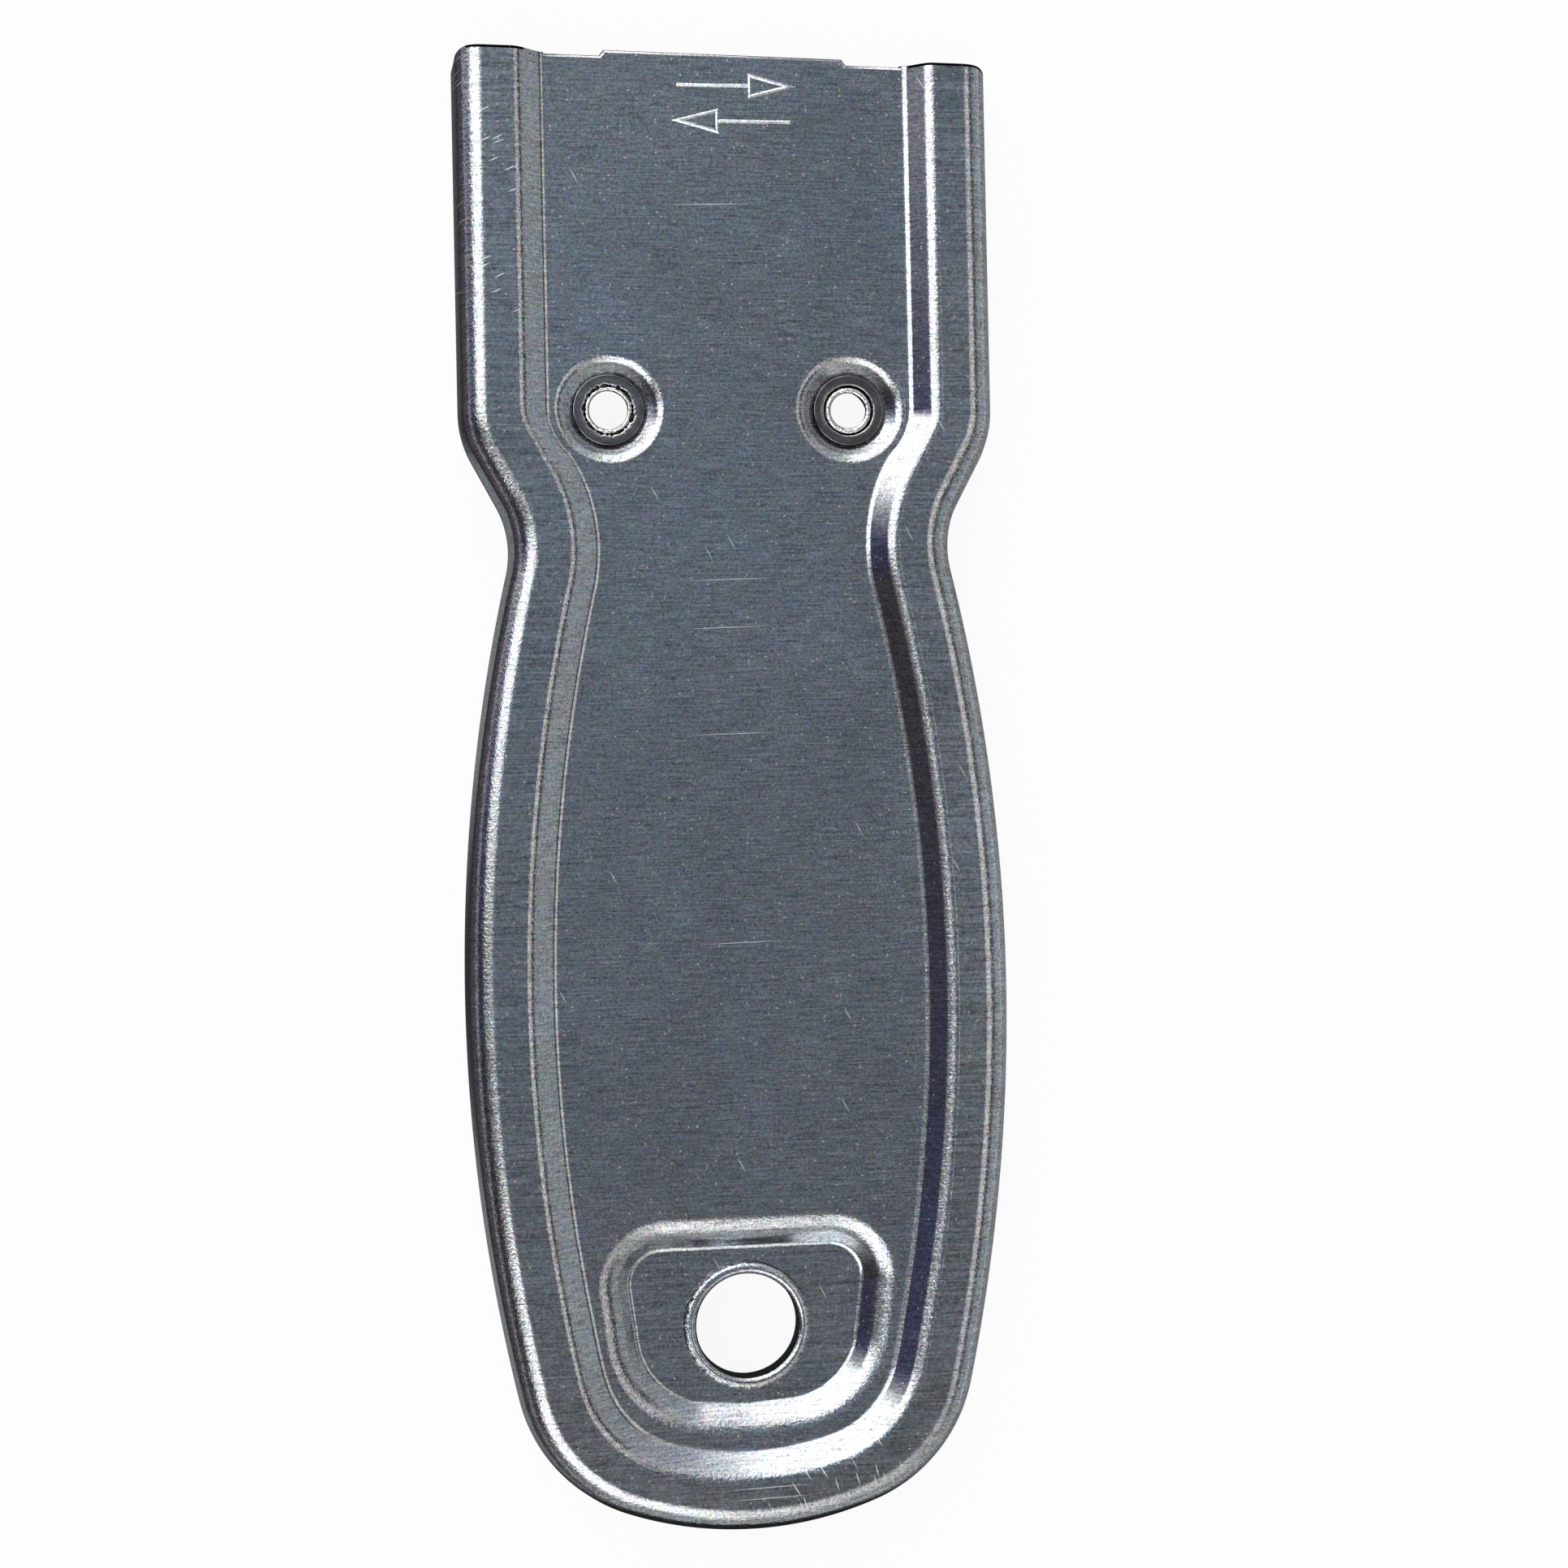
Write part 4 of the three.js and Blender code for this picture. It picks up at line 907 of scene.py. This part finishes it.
sweep = flat_sheet("sweep", 3, 3, -0.0002)
paper = Nodes(bpy.data.materials.new("paper"))
path = paper.add("LightPath").outputs
seen = paper.math("MAXIMUM", path["Is Camera Ray"], path["Is Transmission Ray"])
seen = paper.product(paper.math("MAXIMUM", seen, path["Is Glossy Ray"]), 0.92)
shadowed = paper.add("BsdfDiffuse", {"Color": (0.9, 0.9, 0.9, 1)})
glow = paper.add("Emission", {"Color": (1, 1, 1, 1), "Strength": 1.0})
sweep.data.materials.append(paper.finish(
    paper.add("MixShader", {0: seen, 1: shadowed.outputs[0], 2: glow.outputs[0]}).outputs[0]))


# Dark card of painted reflections
# Glowing card that the tool lies on, left out of the picture, out of the light and out of the shadows: only
# the steel mirrors it, as painted reflections, so that its rims and bores have a dark outline against the
# white. It has a paler line along its left and a paler right half, painted into the reflections of the rims.

card = flat_sheet("dark_card", 0.13, 0.16, -0.0001)
card.visible_camera = card.visible_diffuse = card.visible_shadow = card.visible_transmission = False
reflection_glow = Nodes(bpy.data.materials.new("reflection_glow"))
card_side = reflection_glow.spread(reflection_glow.add("SeparateXYZ", {0: reflection_glow.object_place()}).outputs["X"], -0.03, 0.03)
tone = reflection_glow.ramp(card_side, (0.0, (0.11, 0.09, 0.11)), (0.10, (0.05, 0.04, 0.05)), (0.12, 0.02),
                 (0.135, (0.24, 0.26, 0.26)), (0.2, (0.2, 0.22, 0.22)), (0.26, 0.02), (0.72, 0.02),
                 (0.84, (0.22, 0.22, 0.23)), (1.0, (0.32, 0.33, 0.34)))
card.data.materials.append(reflection_glow.finish(reflection_glow.add("Emission", {"Color": tone, "Strength": 1.0}).outputs[0]))


# Light
# The world alone lights the tool. A dim blue-grey flag hangs over it, tipped a little to the right.
# A bright ring of soft light goes round the flag, and below it the room is grey, dark to the left
# and white towards the mouth. On the right the ring gives way to a warm lamp and a dark gap.

world = bpy.data.worlds.new("studio")
bpy.context.scene.world = world
sky = Nodes(world)
way = sky.add("TexCoord").outputs["Generated"]
parts = sky.add("SeparateXYZ", {0: way}).outputs
flag_tip = math.radians(6.5)
flag_axis = Vector((math.sin(flag_tip), 0, math.cos(flag_tip)))
off_flag = sky.add("VectorMath", {0: way, 1: flag_axis}, operation="DOT_PRODUCT").outputs["Value"]
off_flag = sky.product(sky.math("ARCCOSINE", off_flag), 2 / math.pi)

# compass is 0 and 1 at -X, 0.25 at -Y, 0.5 at +X and 0.75 at +Y; off_flag is 1 at a right angle.
compass = sky.math("MULTIPLY_ADD", sky.math("ARCTAN2", parts["Y"], parts["X"]), 0.5 / math.pi, 0.5)
high = sky.ramp(compass, (0.0, 2.1), (0.2, 2.2), (0.25, (1.75, 1.75, 1.72)), (0.31, (0.8, 0.8, 0.78)),
                (0.38, (0.5, 0.5, 0.48)), (0.62, 0.5), (0.69, (0.6, 0.62, 0.66)), (0.73, 1.8),
                (0.78, 2.3), (1.0, 2.1))
dimmed = sky.ramp(compass, (0.0, 1.0), (0.06, 1.0), (0.09, 0.0), (0.98, 0.0), (0.995, 1.0))
dimmed = sky.product(dimmed, sky.spread(parts["Y"], 0.1, 0.03))
dimmed = sky.math("MULTIPLY_ADD", dimmed, -0.91, 1.0)
low = sky.ramp(compass, (0.0, (0.05, 0.055, 0.11)), (0.02, (0.055, 0.047, 0.055)),
               (0.08, (0.07, 0.06, 0.065)), (0.25, (0.45, 0.46, 0.47)), (0.4, (0.4, 0.41, 0.41)),
               (0.5, (0.4, 0.42, 0.45)), (0.62, (0.42, 0.44, 0.48)), (0.69, (0.42, 0.45, 0.52)),
               (0.73, 1.9), (0.905, 2.3), (0.94, (0.45, 0.45, 0.5)), (0.975, (0.05, 0.055, 0.12)))
across = sky.product(sky.math("ARCTAN2", parts["X"], parts["Z"]), 2 / math.pi)
along = sky.math("MULTIPLY_ADD", sky.math("ARCTAN2", parts["Y"], parts["Z"]), 1 / math.pi, 0.5)
flag = sky.ramp(along, (0.4, (0.165, 0.165, 0.18)), (0.46, (0.148, 0.168, 0.196)), (0.51, (0.17, 0.2, 0.238)),
                (0.58, (0.19, 0.228, 0.275)))
flag = sky.times(flag, sky.ramp(across, (0.02, 1.12), (0.08, 1.02), (0.125, 0.88), (0.15, 0.78)))

up_share = sky.ramp(off_flag, (0.24, 0.0), (0.3, 1.0), (0.66, 1.0), (0.72, 0.0))
low_share = sky.ramp(off_flag, (0.66, 0.0), (0.72, 1.0))
over_share = sky.ramp(off_flag, (0.24, 1.0), (0.3, 0.0))
ring_light = sky.times(sky.times(high, dimmed), up_share)
all_round = sky.plus(sky.plus(ring_light, sky.times(low, low_share)), sky.times(flag, over_share))
right = sky.ramp(across, (0.165, 0.0), (0.2, (0.8, 0.76, 0.745)), (0.43, (0.8, 0.76, 0.745)),
                 (0.45, (0.05, 0.055, 0.06)), (0.58, (0.05, 0.055, 0.06)), (0.63, (0.37, 0.395, 0.41)),
                 (1.0, (0.40, 0.425, 0.45)))
right = sky.plus(right, sky.times(flag, sky.ramp(across, (0.165, 1.0), (0.2, 0.0))))
to_right = sky.ramp(compass, (0.38, 0.0), (0.42, 1.0), (0.58, 1.0), (0.62, 0.0))
path = sky.add("LightPath").outputs
seen = sky.math("MAXIMUM", path["Is Camera Ray"], path["Is Transmission Ray"])
lit = sky.add("Background", {"Color": sky.mix(to_right, all_round, right), "Strength": 1.0})
white = sky.add("Background", {"Color": (1, 1, 1, 1), "Strength": 1.0})
sky.finish(sky.add("MixShader", {0: seen, 1: lit.outputs[0], 2: white.outputs[0]}).outputs[0], "World")


# Camera
# It looks down on the front face from 200 mm, turned 8.6 degrees about the length of the tool. The
# three turns, the shift and the focal length were fitted to the outline of the whole tool.

turns = ((1.12043, "Z"), (8.57076, "Y"), (-0.48213, "X"))
shift_x, shift_y, distance, focal_pixels, picture_pixels = -3.68639, -0.15766, 200, 3201.36, 1932
aim, sensor = (0, 0.4, 4.7), 36
about_z, about_y, about_x = [Matrix.Rotation(math.radians(degrees), 3, axis) for degrees, axis in turns]
camera_turn = (about_z @ about_y @ about_x).transposed()
camera_place = (camera_turn @ Vector((-shift_x, -shift_y, distance)) + Vector(aim)) * MM
camera = linked("camera", bpy.data.cameras.new("camera"))
camera.data.sensor_width = sensor
camera.data.lens = sensor * focal_pixels / picture_pixels
camera.data.clip_start, camera.data.clip_end = 0.01, 20
camera.matrix_world = Matrix.LocRotScale(camera_place, camera_turn.to_quaternion(), None)
bpy.context.scene.camera = camera
bpy.context.scene.view_settings.view_transform = "Standard"
